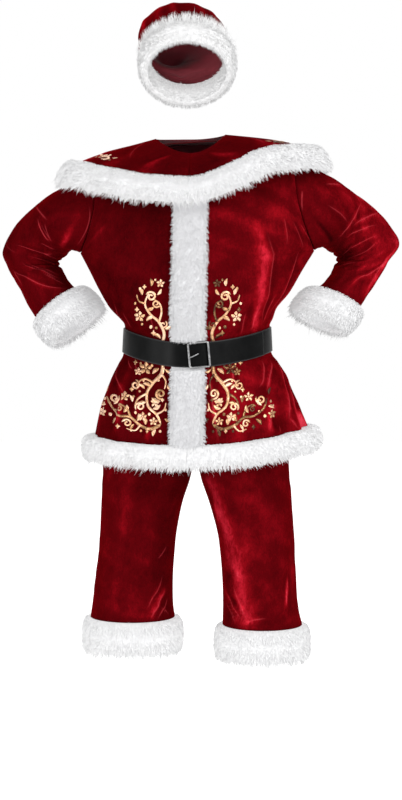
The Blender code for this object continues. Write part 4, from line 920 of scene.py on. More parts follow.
hips = dict(
    # (left_x, right_x, z, front_y, back_y, share of the way from a leg's section to a half of the hips)
    rows=[
        (-199, 235, -742, -106, 112, 0.0), (-194, 230, -712, -112, 118, 0.42),
        (-186, 222, -676, -120, 128, 0.76), (-176, 211, -630, -124, 132, 1.0),
        (-164, 199, -580, -122, 128, 1.0), (-150, 186, -530, -117, 118, 1.0),
        (-138, 175, -486, -112, 110, 1.0)],
    crotchX=18, halfGap=0.6, legRadius=95, degree=1.69, seamFade=25, cuffFade=20, topFade=0.8, rowStep=5.8,
    sides=104, wall=2.0, roughWave=80, rough=1.1,
    # the waistband's gathers and the channels along it as (number, height)
    bandHeight=36, bandWall=4.0, bandGap=0.5, bandRows=9, bandSides=266, gathers=(38, 1.1),
    channels=(4, 0.5))


def legRing(side, rows, turn):
    x = (rows[..., 0] + rows[..., 1]) / 2 - side * np.abs(rows[..., 0] - rows[..., 1]) / 2 * np.cos(turn)
    return np.stack([x, rows[..., 3] - rows[..., 4] * np.sin(turn), rows[..., 2] + 0 * x], axis=-1)


def legPoints(side, places, turn):
    # a leg up to place 7, the crotch; above it the ring opens into half a ring round both legs
    own, top = trousers[side], len(trousers[side]["rows"]) - 1
    waist = top + len(hips["rows"]) - 1
    above = through(hips["rows"], np.maximum(places - top, 0))
    rows = through(own["rows"], np.minimum(places, top))
    rows[..., 2] = np.where(places > top, above[..., 2], rows[..., 2])
    leg = legRing(side, rows, turn)
    x = hips["crotchX"] + (above[..., 0 if side < 0 else 1] - hips["crotchX"]) * np.sin(turn / 2)
    y = np.where(np.cos(turn / 2) > 0, above[..., 3], above[..., 4]) * np.abs(np.cos(turn / 2))
    closed = np.clip(above[..., 5], 0, 1)[..., None]
    points = leg * (1 - closed) + np.stack([x, y, leg[..., 2]], axis=-1) * closed
    degrees = np.degrees(turn)
    u, v = degrees * hips["degree"], points[..., 2]
    dent = sum(deep * fall(v - z - slope * (degrees - angle), zWidth) * wave(degrees, angle, width)
               for z, slope, zWidth, angle, width, deep in own["dents"])
    crest, ridge, away = creaseField(u, v, scaled(own["creases"], hips["degree"]))
    crest = crest + hips["rough"] * smoothNoise(u, v, hips["roughWave"], 21 + side)
    # painted light: the leg's painted sheen and its bands; crest highlights and trough shade join it below
    nap = own["napLie"] + paintedSheenField(u, v, scaled(own["naps"], hips["degree"]))
    fade = np.clip(np.minimum(degrees, 360 - degrees) / hips["seamFade"], 0, 1)
    fade = fade * np.clip((v - own["rows"][0][2]) / hips["cuffFade"], 0, 1)
    upper = np.clip((waist - places) / hips["topFade"], 0, 1)
    middle = uprightLine((points[..., 0].min(axis=1) + points[..., 0].max(axis=1)) / 2, points)
    outward = unit(points - middle[:, None])
    points = points + outward * ((crest - dent) * fade * upper)[..., None]
    apart = hips["halfGap"] * np.clip(places - top + 1, 0, 1)
    points[..., 0] += side * apart * np.abs(np.cos(turn / 2)) ** 8
    return points, np.stack([nap + crest * fade * upper / heightPerPaintedLight, ridge * fade, away], axis=-1), middle


def makeTrousers():
    trim = seamTurn(hips["legRadius"])
    turn = np.linspace(trim, 2 * math.pi - trim, hips["sides"])[None]
    for side, word in bothSides:
        heights = np.array([row[2] for row in trousers[side]["rows"] + hips["rows"][1:]], float)
        steps = np.linspace(heights[0], heights[-1], int((heights[-1] - heights[0]) / hips["rowStep"]))
        places = np.interp(steps, heights, np.arange(len(heights)))[:, None]
        points, marks, middle = legPoints(side, *np.broadcast_arrays(places, turn))
        gridPiece("velvetLeg_" + word, points, marks, hips["wall"], "trouser_leg_" + word, middle)


def makeWaistband():
    # an upright ring on the hips' top row, with gathers round it and channels along it
    left, right, z, frontY = hips["rows"][-1][:4]
    turn, rise = wholeTurn(hips["bandSides"])[None], np.linspace(0, 1, hips["bandRows"])[:, None]
    (gathers, gatherHigh), (channels, channelHigh) = hips["gathers"], hips["channels"]
    gather = gatherHigh * np.sin(gathers * turn + 0.6 * np.sin(3 * turn))
    gather = (gather + channelHigh * np.cos(rise * channels * math.pi)) * np.sin(math.pi * rise)
    x = (left + right) / 2 + ((right - left) / 2 + gather) * np.sin(turn)
    y = (frontY - gather) * np.cos(turn)
    points = np.stack([x, y, z + hips["bandGap"] + hips["bandHeight"] * rise + 0 * x], axis=-1)
    # painted light on the gathers: highlights on their ridges and shade between them
    marks = np.stack([gather / heightPerPaintedLight, 0 * gather, 0 * gather], axis=-1)
    gridPiece("elasticWaistband", points, marks, hips["bandWall"], "trouser_waistband",
              uprightLine((left + right) / 2, points), True)


# shoulder cape

cape = dict(
    # rows as the jacket's, from the neck edge out to the fur seam
    rows=[
        (-76, 12, 88, 22, 6, -84, -26, 8, 80, 16), (-142, -6, 158, 14, 5, -116, -44, 9, 112, -10),
        (-206, -24, 226, 4, 3, -146, -64, 10, 140, -42), (-258, -44, 282, -10, 1, -166, -86, 10, 160, -78)],
    sag={-1: 2.5, 1: 9.0}, backSag=2.0, opening=130, lowest=-160, closed=0.4, inwards=1.2, edgeFade=0.12,
    neckFade=0.1, frontFade=8, liftX=10, liftUp=120, napLie=-0.1, rowCount=34, sides=180, wall=2.0,
    rowLength=64, girth=170,
    # folds of (degrees from the centre front over the left, width, height at the edge); creases of (degrees,
    # row, degrees, row, bow, width, height)
    folds=[
        (24, 7, 3), (47, 8, 4), (70, 7, 3), (98, 8, 3.5), (124, 8, 4), (150, 9, 4), (178, 9, 4), (206, 9, 4),
        (234, 8, 3.5), (262, 7, 3), (286, 8, 4), (312, 8, 3.5), (336, 7, 3)],
    creases=[
        (262, 0.5, 300, 2.6, 8, 6, 2.4), (282, 0.3, 318, 1.9, -6, 6, 2), (70, 0.4, 44, 2.4, 7, 6, 2.4),
        (96, 0.6, 76, 2.7, -6, 6, 2), (130, 0.3, 118, 2.5, 5, 9, 3), (165, 0.4, 172, 2.6, -5, 9, 3),
        (200, 0.4, 192, 2.4, 5, 9, 3), (232, 0.4, 240, 2.6, -5, 9, 3), (20, 0.5, 26, 2.4, 4, 7, 2.5),
        (340, 0.4, 334, 2.5, 4, 7, 2.5)])


def capePoints(places, step, rise=0.0):
    # ellipse quarters from the centre front over the left; the front edge rises sooner on the left
    left, right, front, back = fourPoints(through(cape["rows"], places))
    toLeft, toBack = np.sin(step) >= 0, np.cos(step) < 0
    s = np.arccos(np.clip(np.abs(np.cos(step)), 0, 1))
    sag = np.where(toBack, cape["backSag"], np.where(toLeft, cape["sag"][1], cape["sag"][-1]))
    degrees, share = np.degrees(step), places / (len(cape["rows"]) - 1)
    power = cape["backSag"] + (sag - cape["backSag"]) * share
    middle, edge = np.where(toBack[..., None], back, front), np.where(toLeft[..., None], right, left)
    points = quarter(middle, edge, s, power)
    folds = sum(high * wave(degrees, centre, width) for centre, width, high in cape["folds"]) * share ** 1.5
    scales = math.radians(1) * cape["girth"], cape["rowLength"]
    u, v = degrees * scales[0], places * scales[1]
    crest, ridge, away = creaseField(u, v, scaled(cape["creases"], *scales))
    crest = (folds - cape["inwards"] * share + crest) * ease((1 - share) / cape["edgeFade"])
    opening = np.minimum(degrees, 360 - degrees)
    crest = crest * ease(share / cape["neckFade"]) * ease(opening / cape["frontFade"])
    upward = np.full(np.shape(s), float(cape["liftUp"]))
    lift = unit(np.stack([points[..., 0] - cape["liftX"], points[..., 1], upward], axis=-1))
    # painted light: highlights on crests and folds, shade in troughs, and the cape's painted sheen
    marks = np.stack([crest / heightPerPaintedLight + cape["napLie"], ridge, away], axis=-1)
    return points + lift * (crest + rise)[..., None], marks


def makeCape():
    trim = seamTurn(cape["opening"]) * cape["closed"]
    places = np.linspace(0, len(cape["rows"]) - 1, cape["rowCount"])[:, None]
    step = np.linspace(trim, 2 * math.pi - trim, cape["sides"])[None]
    points, marks = capePoints(*np.broadcast_arrays(places, step))
    inside = np.tile((0.0, 0.0, cape["lowest"]), (cape["rowCount"], 1))
    gridPiece("velvetCape", points, marks, cape["wall"], "cape_velvet", inside)


# hat

hat = dict(
    # rows of (centre_x, centre_y, centre_z, half_width, half_length, lean_back_deg)
    rows=[
        (-2, 16, 213, 97, 112, 35), (-8, 30, 236, 105, 112, 42), (-15, 56, 252, 104, 96, 58),
        (-22, 88, 252, 86, 74, 82), (-30, 116, 240, 64, 54, 104), (-37, 140, 226, 44, 36, 118),
        (-42, 160, 208, 28, 24, 132), (-45, 172, 194, 12, 12, 139)],
    rowCount=62, sides=104, wall=2.0, rowLength=30, girth=95, napLie=0.02, creaseStart=0.35, creaseEnd=2,
    # creases of (degrees, row, degrees, row, bow, width, height), 0 degrees at the left and 90 at the front
    creases=[
        (62, 0.2, 84, 2.6, 6, 8, 1.7), (104, 0.3, 96, 3.0, -5, 8, 2.0), (134, 0.2, 118, 2.4, 5, 8, 1.7),
        (40, 0.3, 52, 3.2, -5, 8, 1.8), (160, 0.2, 148, 3.2, 5, 9, 2.2), (196, 0.3, 190, 4.0, -4, 9, 3.5),
        (232, 0.3, 238, 4.4, 5, 9, 3.5), (270, 0.3, 266, 4.2, -4, 9, 3.5), (306, 0.3, 300, 4.2, 4, 9, 3.5),
        (344, 0.3, 350, 3.6, -4, 9, 3.5), (80, 3.0, 110, 5.4, 4, 7, 2.5), (200, 3.6, 220, 6.0, 3, 6, 2.5),
        (330, 3.4, 310, 5.8, 3, 6, 2.5)])


def hatPoints(places, turn):
    # ellipses round the hat's bent middle line, each leaning back by its row's own angle
    rows, last = through(hat["rows"], places), len(hat["rows"]) - 1
    lean = np.radians(rows[..., 5])
    across, fore = np.cos(turn) * rows[..., 3], np.sin(turn) * rows[..., 4]
    reach = np.stack([across, -fore * np.cos(lean), fore * np.sin(lean)], axis=-1)
    scales = math.radians(1) * hat["girth"], hat["rowLength"]
    u, v = turn * hat["girth"], places * hat["rowLength"]
    crest, ridge, away = creaseField(u, v, scaled(hat["creases"], *scales), 360 * scales[0])
    crest = crest * ease(places / hat["creaseStart"]) * ease((last - places) / hat["creaseEnd"])
    # painted light: highlights on crests, shade in troughs, and the crown's painted sheen
    marks = np.stack([crest / heightPerPaintedLight + hat["napLie"], ridge, away], axis=-1)
    return rows[..., :3] + reach + unit(reach) * crest[..., None], marks, rows[:, 0, :3]


def makeHat():
    places = np.linspace(0, len(hat["rows"]) - 1, hat["rowCount"])[:, None]
    points, marks, middle = hatPoints(*np.broadcast_arrays(places, wholeTurn(hat["sides"])[None]))
    gridPiece("velvetHatCrown", points, marks, hat["wall"], "hat_crown", middle, True)


makeJacketBody()
makeSleeves()
makeTrousers()
makeWaistband()
makeCape()
makeHat()
print("velvet made")


# fur

pile = dict(
    # section of a trim as (share of the pile outwards, share of the height)
    section=[(0.35, 0.0), (0.78, 0.07), (1.0, 0.30), (1.0, 0.62), (0.80, 0.90), (0.38, 1.0)], innerEdge=0.94,
    seam=0.5, shrink=2.2, least=1.5, upper=1, lower=3, lump=1.3, lumpSize=26, sectionPoints=18, sweepSpan=60,
    # long single wisps along a lower edge, blades that stand up over a seam, and short ones inside a cuff
    wispRows=5, wisps=dict(length=1.8, density=0.16, low=0.4, wild=1.5, tufted=0.5), crestRows=6,
    crests=dict(density=1.1, low=0.5, wild=2.0, tufted=0.8),
    liningRows=(3, 8), lining=dict(density=0.8, inward=True, wild=1.6))
blade = dict(
    length=8.5, lengths=(0.65, 1.25), width=1.25, widths=(0.7, 1.3), waist=0.75, twist=0.8, rootDepth=0.6,
    density=0.235, quickShare=0.1, clump=17, combLength=0.25, lean=0.7, combLean=0.45, leanSpread=0.28,
    swirlTurn=0.75, turnSpread=0.32,
    # the lower half's way and length, and the upper half's, which leans and turns further
    lowerWay=0.7, lowerLength=0.5, upperOut=0.55, upperLean=0.35, upperTurn=1.2, upperLength=0.6,
    # how the tips of a clump meet: its size, how ragged its border is, how far past its blades it ends
    tuft=6.5, ragged=0.35, meet=(0.5, 3.0), meetLow=1.2, pull=0.42, pullLow=0.4, pullMiddle=0.3,
    # tipness at the root, halfway and at the tip, and how much it differs; low tipness is painted shade deep
    # in the pile
    tipness=(0.25, 0.25, 0.65, 0.65, 1.0), shadeSpread=0.07, combShade=0.06, lieOver=0.25)


def tuftTips(rng, spot, tip, way, low):
    # the point where the tips of each blade's clump draw together: their mean, moved on along their mean way
    cells = np.floor(spot + rng.uniform(0, blade["ragged"], spot.shape)).astype(int)
    keys, index = np.unique(cells[:, 0] * 4096 + cells[:, 1], return_inverse=True)
    index = index.reshape(-1)
    members = np.bincount(index)[:, None]
    meanTip, meanWay = (np.stack([np.bincount(index, part[:, k]) for k in range(3)], axis=-1) / members
                        for part in (tip, way))
    onward = rng.uniform(*blade["meet"], (len(keys), 1)) * (1 + low * blade["meetLow"])
    return (meanTip + meanWay * onward)[index]


def bladesOver(grid, down, seed, length=1.0, density=1.0, closed=False, low=0.0, inward=False, wild=1.0,
               tufted=1.0):
    # tapered blades of three triangles over a grid of points, each leaning down and with its clump and bent
    # over halfway; low is how much longer the lowest are, wild how far their ways differ
    rng = np.random.default_rng(seed)
    if closed:
        grid, down = np.concatenate([grid, grid[:, :1]], axis=1), np.concatenate([down, down[:, :1]], axis=1)
    a, b, c, d = grid[:-1, :-1], grid[:-1, 1:], grid[1:, 1:], grid[1:, :-1]
    areas = np.linalg.norm(np.cross(c - a, d - b), axis=-1) / 2
    count = int(areas.sum() * blade["density"] * density * (1))
    cell = np.searchsorted(np.cumsum(areas.ravel()) / areas.sum(), rng.random(count))
    row, column = np.unravel_index(np.minimum(cell, areas.size - 1), areas.shape)
    u, v = rng.random(count)[:, None], rng.random(count)[:, None]
    root = ((1 - u) * (1 - v) * a[row, column] + (1 - u) * v * b[row, column]
            + u * v * c[row, column] + u * (1 - v) * d[row, column])
    out = unit(np.cross(c - a, d - b))
    out = out * np.sign((out * (grid[:-1, :-1] - grid.mean(axis=(0, 1)))).sum()) * (-1 if inward else 1)
    out, lay = out[row, column], unit(down[row, column])
    side = unit(np.cross(out, lay))
    x, y, z = root.T
    swirl = smoothNoise(x + y, z + 0.7 * y, blade["clump"], seed + 1, 2)[:, None]
    comb = smoothNoise(x - y, z - 0.7 * x, blade["clump"], seed + 2, 2)[:, None]
    rowShare = ((row + u[:, 0]) / areas.shape[0])[:, None]
    long = blade["length"] * length * rng.uniform(*blade["lengths"], (count, 1))
    long = long * (1 + blade["combLength"] * comb) * (1 + low * rowShare ** 2)
    lean = blade["lean"] + blade["combLean"] * comb + rng.normal(0, blade["leanSpread"] * wild, (count, 1))
    turn = blade["swirlTurn"] * swirl + rng.normal(0, blade["turnSpread"] * wild, (count, 1))
    first = unit(out + (lay * lean + side * turn) * blade["lowerWay"])
    upperLay, upperTurn = lean + blade["upperLean"], turn * blade["upperTurn"]
    second = unit(out * blade["upperOut"] + lay * upperLay + side * upperTurn)
    middle = root + first * long * blade["lowerLength"]
    tip = middle + second * long * blade["upperLength"]
    cellSize = np.array([np.linalg.norm(b - a, axis=-1).mean(), np.linalg.norm(d - a, axis=-1).mean()])
    spot = np.stack([column + v[:, 0], row + u[:, 0]], axis=-1) * cellSize / blade["tuft"]
    meeting = tuftTips(rng, spot, tip, second, low)
    pull = (blade["pull"] + blade["pullLow"] * rowShare ** 2 * min(low * 2, 1)) * tufted
    tip = tip + (meeting - tip) * pull
    middle = middle + (meeting - middle) * pull * blade["pullMiddle"]
    broad = unit(np.cross(first, out + rng.normal(0, blade["twist"], (count, 3))))
    broad = broad * blade["width"] * rng.uniform(*blade["widths"], (count, 1)) / 2
    root = root - out * blade["rootDepth"]
    lie = np.repeat(unit(out + blade["lieOver"] * first)[:, None], 5, axis=1)
    narrow = broad * blade["waist"]
    points = np.stack([root - broad, root + broad, middle - narrow, middle + narrow, tip], axis=1)
    number = np.arange(count)[:, None] * 5
    quads, tips = number + np.array([[0, 1, 3, 2]]), number + np.array([[2, 3, 4]])
    shade = rng.uniform(-blade["shadeSpread"], blade["shadeSpread"], (count, 1)) + blade["combShade"] * comb
    tipness = np.array([blade["tipness"]]) + shade
    return points.reshape(-1, 3), quads, tips, tipness.reshape(-1), lie.reshape(-1, 3)


def furPiece(name, base, baseFaces, baseLie, coats, node, toneAndPaintedLight=0.0):
    # one mesh: the pile's lumpy body and the blades over it; tone is painted light that makes it whiter or
    # greyer
    points, quads, tips = [base], [baseFaces], []
    tipness, lies, offset = [np.full(len(base), blade["tipness"][0])], [baseLie], len(base)
    for coatPoints, coatQuads, coatTips, coatTipness, coatLie in coats:
        points.append(coatPoints)
        quads.append(coatQuads + offset)
        tips.append(coatTips + offset)
        tipness.append(coatTipness)
        lies.append(coatLie)
        offset += len(coatPoints)
    mesh = meshFrom(name, np.concatenate(points), [np.concatenate(quads), np.concatenate(tips)],
                    {"tipness": np.concatenate(tipness) + toneAndPaintedLight, "lie": np.concatenate(lies)})
    piece = addPiece(name, mesh, [finishes["fur"]], None, [node])


def capEnds(rows, columns):
    # faces that close the two end rows of a tube of grid points with strips across it
    first = np.arange(columns // 2 - 1)
    strip = np.stack([first, first + 1, columns - 2 - first, columns - 1 - first], axis=-1)
    return np.concatenate([strip, strip[:, ::-1] + (rows - 1) * columns])


def furAlong(name, path, down, outward, kind, node, closed=True, side=0):
    # a trim along a path: a lumpy body a little inside its solid, then blades out to it and past
    trim = {**plainTrim, **trims[kind]}
    seed, toneAndPaintedLight = trim["seed"] + side, trim["toneAndPaintedLight"] + side * trim["sidePaintedLight"]
    height, out, back = trim["form"]
    share = through(pile["section"], np.linspace(0, len(pile["section"]) - 1, pile["sectionPoints"]))
    body = np.stack([np.maximum(share[:, 0] * out - pile["shrink"], pile["least"]),
                     pile["seam"] + pile["upper"] + share[:, 1] * (height - pile["lower"])], axis=-1)
    along = np.concatenate([[0], np.cumsum(np.linalg.norm(np.diff(path, axis=0), axis=1))])
    u, v = along[:, None], np.cumsum(np.full(len(body), height / len(body)))[None]
    if closed:
        turn = along / (along[-1] + along[1]) * 2 * math.pi
        u = along[-1] / 6.28 * (np.cos(turn) + np.sin(turn))[:, None]
    lumps = pile["lump"] * smoothNoise(u, v, pile["lumpSize"], seed)
    outer = path[:, None] + outward[:, None] * (body[None, :, :1] + lumps[..., None])
    outer = outer + down[:, None] * body[None, :, 1:]
    inner = [path - outward * back + down * place for place in (pile["innerEdge"] * height, pile["seam"])]
    tube = np.concatenate([outer, np.stack(inner, axis=1)], axis=1)
    middle = tube.mean(axis=1)
    flat, faces = gridShell(tube, middle, closedRows=closed)
    if not closed:
        faces = np.concatenate([faces, capEnds(*tube.shape[:2])])
    grid = outer.transpose(1, 0, 2)
    way = np.broadcast_to(down[None], grid.shape).copy()
    aside = np.tanh((grid[..., 0] - jacket["axisX"]) / pile["sweepSpan"])
    way[..., 0] += trim["sweep"] * aside * np.linspace(0, 1, len(grid))[:, None] ** 2
    coats = [bladesOver(grid, way, seed + 7, trim["length"], closed=closed, low=trim["low"])]
    if trim["fringe"]:
        rows = pile["wispRows"]
        coats.append(bladesOver(grid[-rows:], way[-rows:], seed + 6, closed=closed, **pile["wisps"]))
    if trim["crest"]:
        rows, look = pile["crestRows"], pile["crests"]
        upper = grid[:rows][::-1]
        coats.append(bladesOver(upper, -way[:rows], seed + 8, trim["crest"], closed=closed, **look))
    if trim["lined"]:
        (lipRows, rows), look = pile["liningRows"], pile["lining"]
        t = np.linspace(0, 1, rows)[:, None, None]
        lip = outer[:, -1][None] * (1 - t[:lipRows]) + inner[0][None] * t[:lipRows]
        inside = np.concatenate([lip, inner[0][None] * (1 - t) + inner[1][None] * t])
        inside, along = inside[::-1], way[:len(inside)]
        coats.append(bladesOver(inside, along, seed + 9, trim["lined"], closed=closed, **look))
    furPiece(name, flat, faces, unit(tube - middle[:, None]).reshape(-1, 3), coats, node, toneAndPaintedLight)


def planOutward(ring, down, closed=True):
    # the ways out of a ring, across its own line and its way down
    ahead = np.roll(ring, -1, axis=0) - np.roll(ring, 1, axis=0)
    if not closed:
        ahead[0], ahead[-1] = ring[1] - ring[0], ring[-1] - ring[-2]
    outward = unit(np.cross(ahead, -down))
    return outward * np.sign((outward * (ring - ring.mean(axis=0)))[:, :2].sum())


def roundBody(places, step):
    # the jacket below the armpits at an angle from the centre front over the wearer's left
    places, step = np.broadcast_arrays(np.asarray(places, float), step)
    points = np.zeros(places.shape + (3,))
    s = np.arccos(np.clip(np.abs(np.cos(step)), 0, 1))
    for side in (-1, 1):
        for face in (-1, 1):
            here = ((np.sin(step) >= 0) == (side > 0)) & ((np.cos(step) >= 0) == (face < 0))
            if here.any():
                points[here] = bodyPoints(side, face, places[here], s[here], False)[0]
    return points


# a trim: form is its section (height, how far it stands out, how far it lies back), low how much longer the
# lowest blades are, sweep how far these lean aside, crest and lined the lengths over the seam and inside,
# fringe whether wisps hang from its edge, and tone is painted light that makes it whiter
plainTrim = dict(low=0.0, sweep=0.0, crest=0.0, lined=0.0, fringe=True, toneAndPaintedLight=0.0, sidePaintedLight=0.0)
trims = dict(
    hem=dict(form=(51, 27, 4), seed=31, length=0.95, low=0.4, sweep=0.7, steps=300, end=0.0004, drop=1.4),
    cape=dict(form=(63, 23, 3), seed=41, length=1.05, low=0.6, steps=300, end=0.0005, drop=1.15, seam=1.8),
    sleeveCuff=dict(form=(70, 21, 3), seed=51, length=0.9, low=0.4, lined=0.75, steps=96, seam=0.8,
                    toneAndPaintedLight=-0.2, sidePaintedLight=0.1),
    trouserCuff=dict(form=(78, 18, 3), seed=61, length=0.85, low=0.5, steps=130, toneAndPaintedLight=0.15),
    hatBand=dict(form=(60, 17, 4), seed=71, length=0.9, low=0.2, crest=2.2, lined=1.1, fringe=False,
                 steps=130, toneAndPaintedLight=0.9))


def openTurn(trim):
    # angles from one side of the centre front's opening to the other
    return np.linspace(trim["end"], 2 * math.pi - trim["end"], trim["steps"])


def makeHemFur():
    trim, step = trims["hem"], openTurn(trims["hem"])
    edge, above = roundBody(0.0, step), roundBody(0.4, step)
    down = unit(unit(edge - above) + np.array((0, 0, -trim["drop"])))
    furAlong("furHem", edge + down, down, planOutward(edge, down, False), "hem", "jacket_hem_fur", False)


def makeCapeFur():
    trim, step = trims["cape"], openTurn(trims["cape"])
    last = len(cape["rows"]) - 1.0
    edge, above = (capePoints(np.full(step.shape, row), step)[0] for row in (last, last - 0.3))
    slope = unit(edge - above)
    down = unit(slope + np.array((0, 0, -trim["drop"])))
    outward = planOutward(edge, down, False)
    furAlong("furCape", edge + slope * trim["seam"], down, outward, "cape", "cape_fur", False)


def makeSleeveCuff(side, word):
    trim, last = trims["sleeveCuff"], len(sleeves[side]["rows"]) - 1.0
    turn = wholeTurn(trim["steps"])
    ring, _, centre = sleevePoints(side, np.full((1, len(turn)), last), turn[None])
    along = unit(sleeveFrame(side, np.full((1, 1), last))[1][0, 0])
    outward = unit(ring[0] - centre[0])
    outward = unit(outward - along * (outward * along).sum(axis=1, keepdims=True))
    way = np.broadcast_to(along, outward.shape)
    furAlong("furSleeveCuff_" + word, ring[0] + way * trim["seam"], way, outward, "sleeveCuff",
             "sleeve_cuff_fur_" + word, side=side)


def makeTrouserCuff(side, word):
    steps = trims["trouserCuff"]["steps"]
    row = np.array(trousers[side]["rows"][0], float)
    ring = legRing(side, np.tile(row, (steps, 1)), wholeTurn(steps))
    way = np.broadcast_to(np.array((0, 0, -1.0)), ring.shape)
    furAlong("furTrouserCuff_" + word, ring, way, planOutward(ring, way), "trouserCuff",
             "trouser_cuff_fur_" + word, side=side)


def makeHatBand():
    turn = wholeTurn(trims["hatBand"]["steps"])
    ring, _, middle = hatPoints(np.zeros((1, len(turn))), turn[None])
    lean = math.radians(hat["rows"][0][5])
    way = np.broadcast_to(np.array((0, -math.sin(lean), -math.cos(lean))), ring[0].shape)
    furAlong("furHatBand", ring[0], way, unit(ring[0] - middle), "hatBand", "hat_fur_band")


pompom = dict(
    centre=(-51, 196, 166), radius=38, inside=3.5, lump=1.2, lumpSize=26, lumpRise=30, seed=81, rows=22,
    columns=40, blades=dict(seed=83, length=1.2, density=1.1, closed=True), down=(0.1, 0.2, -1.0))


def makePompom():
    # a ball of rows round its upright axis, lumpy, with its poles closed by their own points
    rows, columns = pompom["rows"], pompom["columns"]
    tilt, turn = np.linspace(0, math.pi, rows)[:, None], wholeTurn(columns)[None]
    flatX, flatY = np.sin(tilt) * np.cos(turn), np.sin(tilt) * np.sin(turn)
    ways = np.stack([flatX, flatY, np.cos(tilt) + 0 * turn], axis=-1)
    u = ways[..., 0] * pompom["radius"]
    v = ways[..., 1] * pompom["radius"] + ways[..., 2] * pompom["lumpRise"]
    lumps = pompom["lump"] * smoothNoise(u, v, pompom["lumpSize"], pompom["seed"]) * np.sin(tilt)
    centre = np.array(pompom["centre"], float)
    grid = centre + ways * (pompom["radius"] - pompom["inside"] + lumps)[..., None]
    flat, faces = weld(grid.reshape(-1, 3), gridFaces(rows, columns, closedColumns=True))
    quads = outwardFaces(flat, faces[columns:-columns], centre)
    caps = np.concatenate([faces[:columns][:, (0, 2, 3)], faces[-columns:][:, (0, 1, 2)]])
    caps = outwardFaces(flat, caps, centre)
    down = np.broadcast_to(np.array(pompom["down"]), grid.shape)
    points, bladeQuads, tips, *rest = bladesOver(grid[1:-1], down[1:-1], **pompom["blades"])
    coat = (points, bladeQuads, np.concatenate([tips, caps - len(flat)]), *rest)
    furPiece("furPompom", flat, quads, unit(flat - centre), [coat], "hat_pompom")


# tone is painted shade that makes the placket greyer than the other fur
placket = dict(
    half=38, pile=19, underBelt=5, underCape=8, flatRows=0.55, swellRows=0.4, bareRows=0.62, rootGap=1.25,
    overHem=(16, 12, 8, 4), overHemOut=0.25, overHemPile=(0.62, 0.95), start=0.02, lowerRows=130,
    upperRows=40, columns=23, seed=91, density=1.15, spread=0.6, toneAndPaintedLight=-1.15)


def turnAt(away, edge, corner):
    # the angle on a panel's quarter sections at a distance from the centre line
    return np.arcsin(np.clip(away / np.abs(edge[:, 0] - corner[:, 0]), 0, 1))


def placketLine(away, side, places, t):
    # a line up the front panel at a distance from the centre line, below the armpits and above them
    left, right, front, _ = fourPoints(through(jacket["rows"], places))
    edge = left if side < 0 else right
    lower = bodyPoints(side, -1, places, turnAt(away, edge, front), False)[0]
    _, corner, edge = upperSection(t, 0 * t, side, -1)
    return np.vstack([lower, upperSection(t, turnAt(away, edge, corner), side, -1)[0]])


def makePlacket():
    # the fur down the centre front: an arched pile over both front panels, pressed flat by the belt
    places = np.linspace(placket["start"], jacket["armpit"], placket["lowerRows"])
    t = np.linspace(0, len(jacket["frontRise"]) - 1, placket["upperRows"])[1:]
    across = np.linspace(-1, 1, placket["columns"])
    base = np.stack([placketLine(abs(share) * placket["half"], -1 if share < 0 else 1, places, t)
                     for share in across], axis=1)
    up = unit(np.gradient(base.mean(axis=1), axis=0))
    outward = unit(np.cross(up, np.array((1.0, 0, 0))))
    outward = outward * -np.sign(outward[:, 1:2])
    # rows that run on down over the top of the hem's fur
    below = np.array(placket["overHem"], float)[:, None, None]
    over = base[:1] - up[:1, None] * below + outward[:1, None] * (below * placket["overHemOut"])
    base = np.concatenate([over, base])
    outward = np.concatenate([np.repeat(outward[:1], len(below), axis=0), outward])
    places = np.concatenate([np.full(len(below), places[0]), places])
    # the pile's height along it: low under the belt, swelling past it, and lower again under the cape
    past = np.clip(np.abs(places - jacket["beltMiddle"]) - placket["flatRows"], 0, None)
    high = placket["pile"] - (placket["pile"] - placket["underBelt"]) * fall(past, placket["swellRows"])
    upward = np.linspace(placket["pile"], placket["underCape"], len(t))
    high = np.concatenate([high, upward]) - pile["shrink"]
    high[:len(below)] *= np.linspace(*placket["overHemPile"], len(below))
    centre = base[:, placket["columns"] // 2]
    height = np.cumsum(np.concatenate([[0], np.linalg.norm(np.diff(centre, axis=0), axis=1)]))
    lumps = smoothNoise(across[None] * placket["half"], height[:, None], pile["lumpSize"], placket["seed"])
    crown = (1 - 0.9 * across ** 6) * (1 - 0.12 * across ** 2)
    base = base + outward[:, None] * placket["rootGap"]
    thick = high[:, None] * crown[None] + pile["lump"] * lumps * np.minimum(high / 8, 1)[:, None]
    top = base + outward[:, None] * np.maximum(thick, 1.0)[..., None]
    tube = np.concatenate([base, top[:, ::-1]], axis=1)
    flat, faces = gridShell(tube, (base.mean(axis=1) + top.mean(axis=1)) / 2)
    faces = np.concatenate([faces, capEnds(*tube.shape[:2])])
    way = np.zeros(top.shape)
    way[..., 2] = -1.0
    way[..., 0] = np.sign(across) * np.abs(across) ** 3 * placket["spread"]
    # blades below the belt and above it, none under it
    allPlaces = np.concatenate([places, jacket["armpit"] + t])
    free = np.flatnonzero(np.abs(allPlaces - jacket["beltMiddle"]) > placket["bareRows"])
    breakAt = np.flatnonzero(np.diff(free) > 1)[0] + 1
    coats = [bladesOver(top[part][::-1], way[part][::-1], placket["seed"] + 2 + k, 1.0, placket["density"])
             for k, part in enumerate((free[:breakAt], free[breakAt:]))]
    lie = np.repeat(outward[:, None], tube.shape[1], axis=1)
    furPiece("furPlacket", flat, faces, lie.reshape(-1, 3), coats, "jacket_placket_fur", placket["toneAndPaintedLight"])


def makeFur():
    makeHemFur()
    makeCapeFur()
    for side, word in bothSides:
        makeSleeveCuff(side, word)
        makeTrouserCuff(side, word)
    makeHatBand()
    makePompom()
    makePlacket()


makeFur()
print("fur made")


# belt and buckle

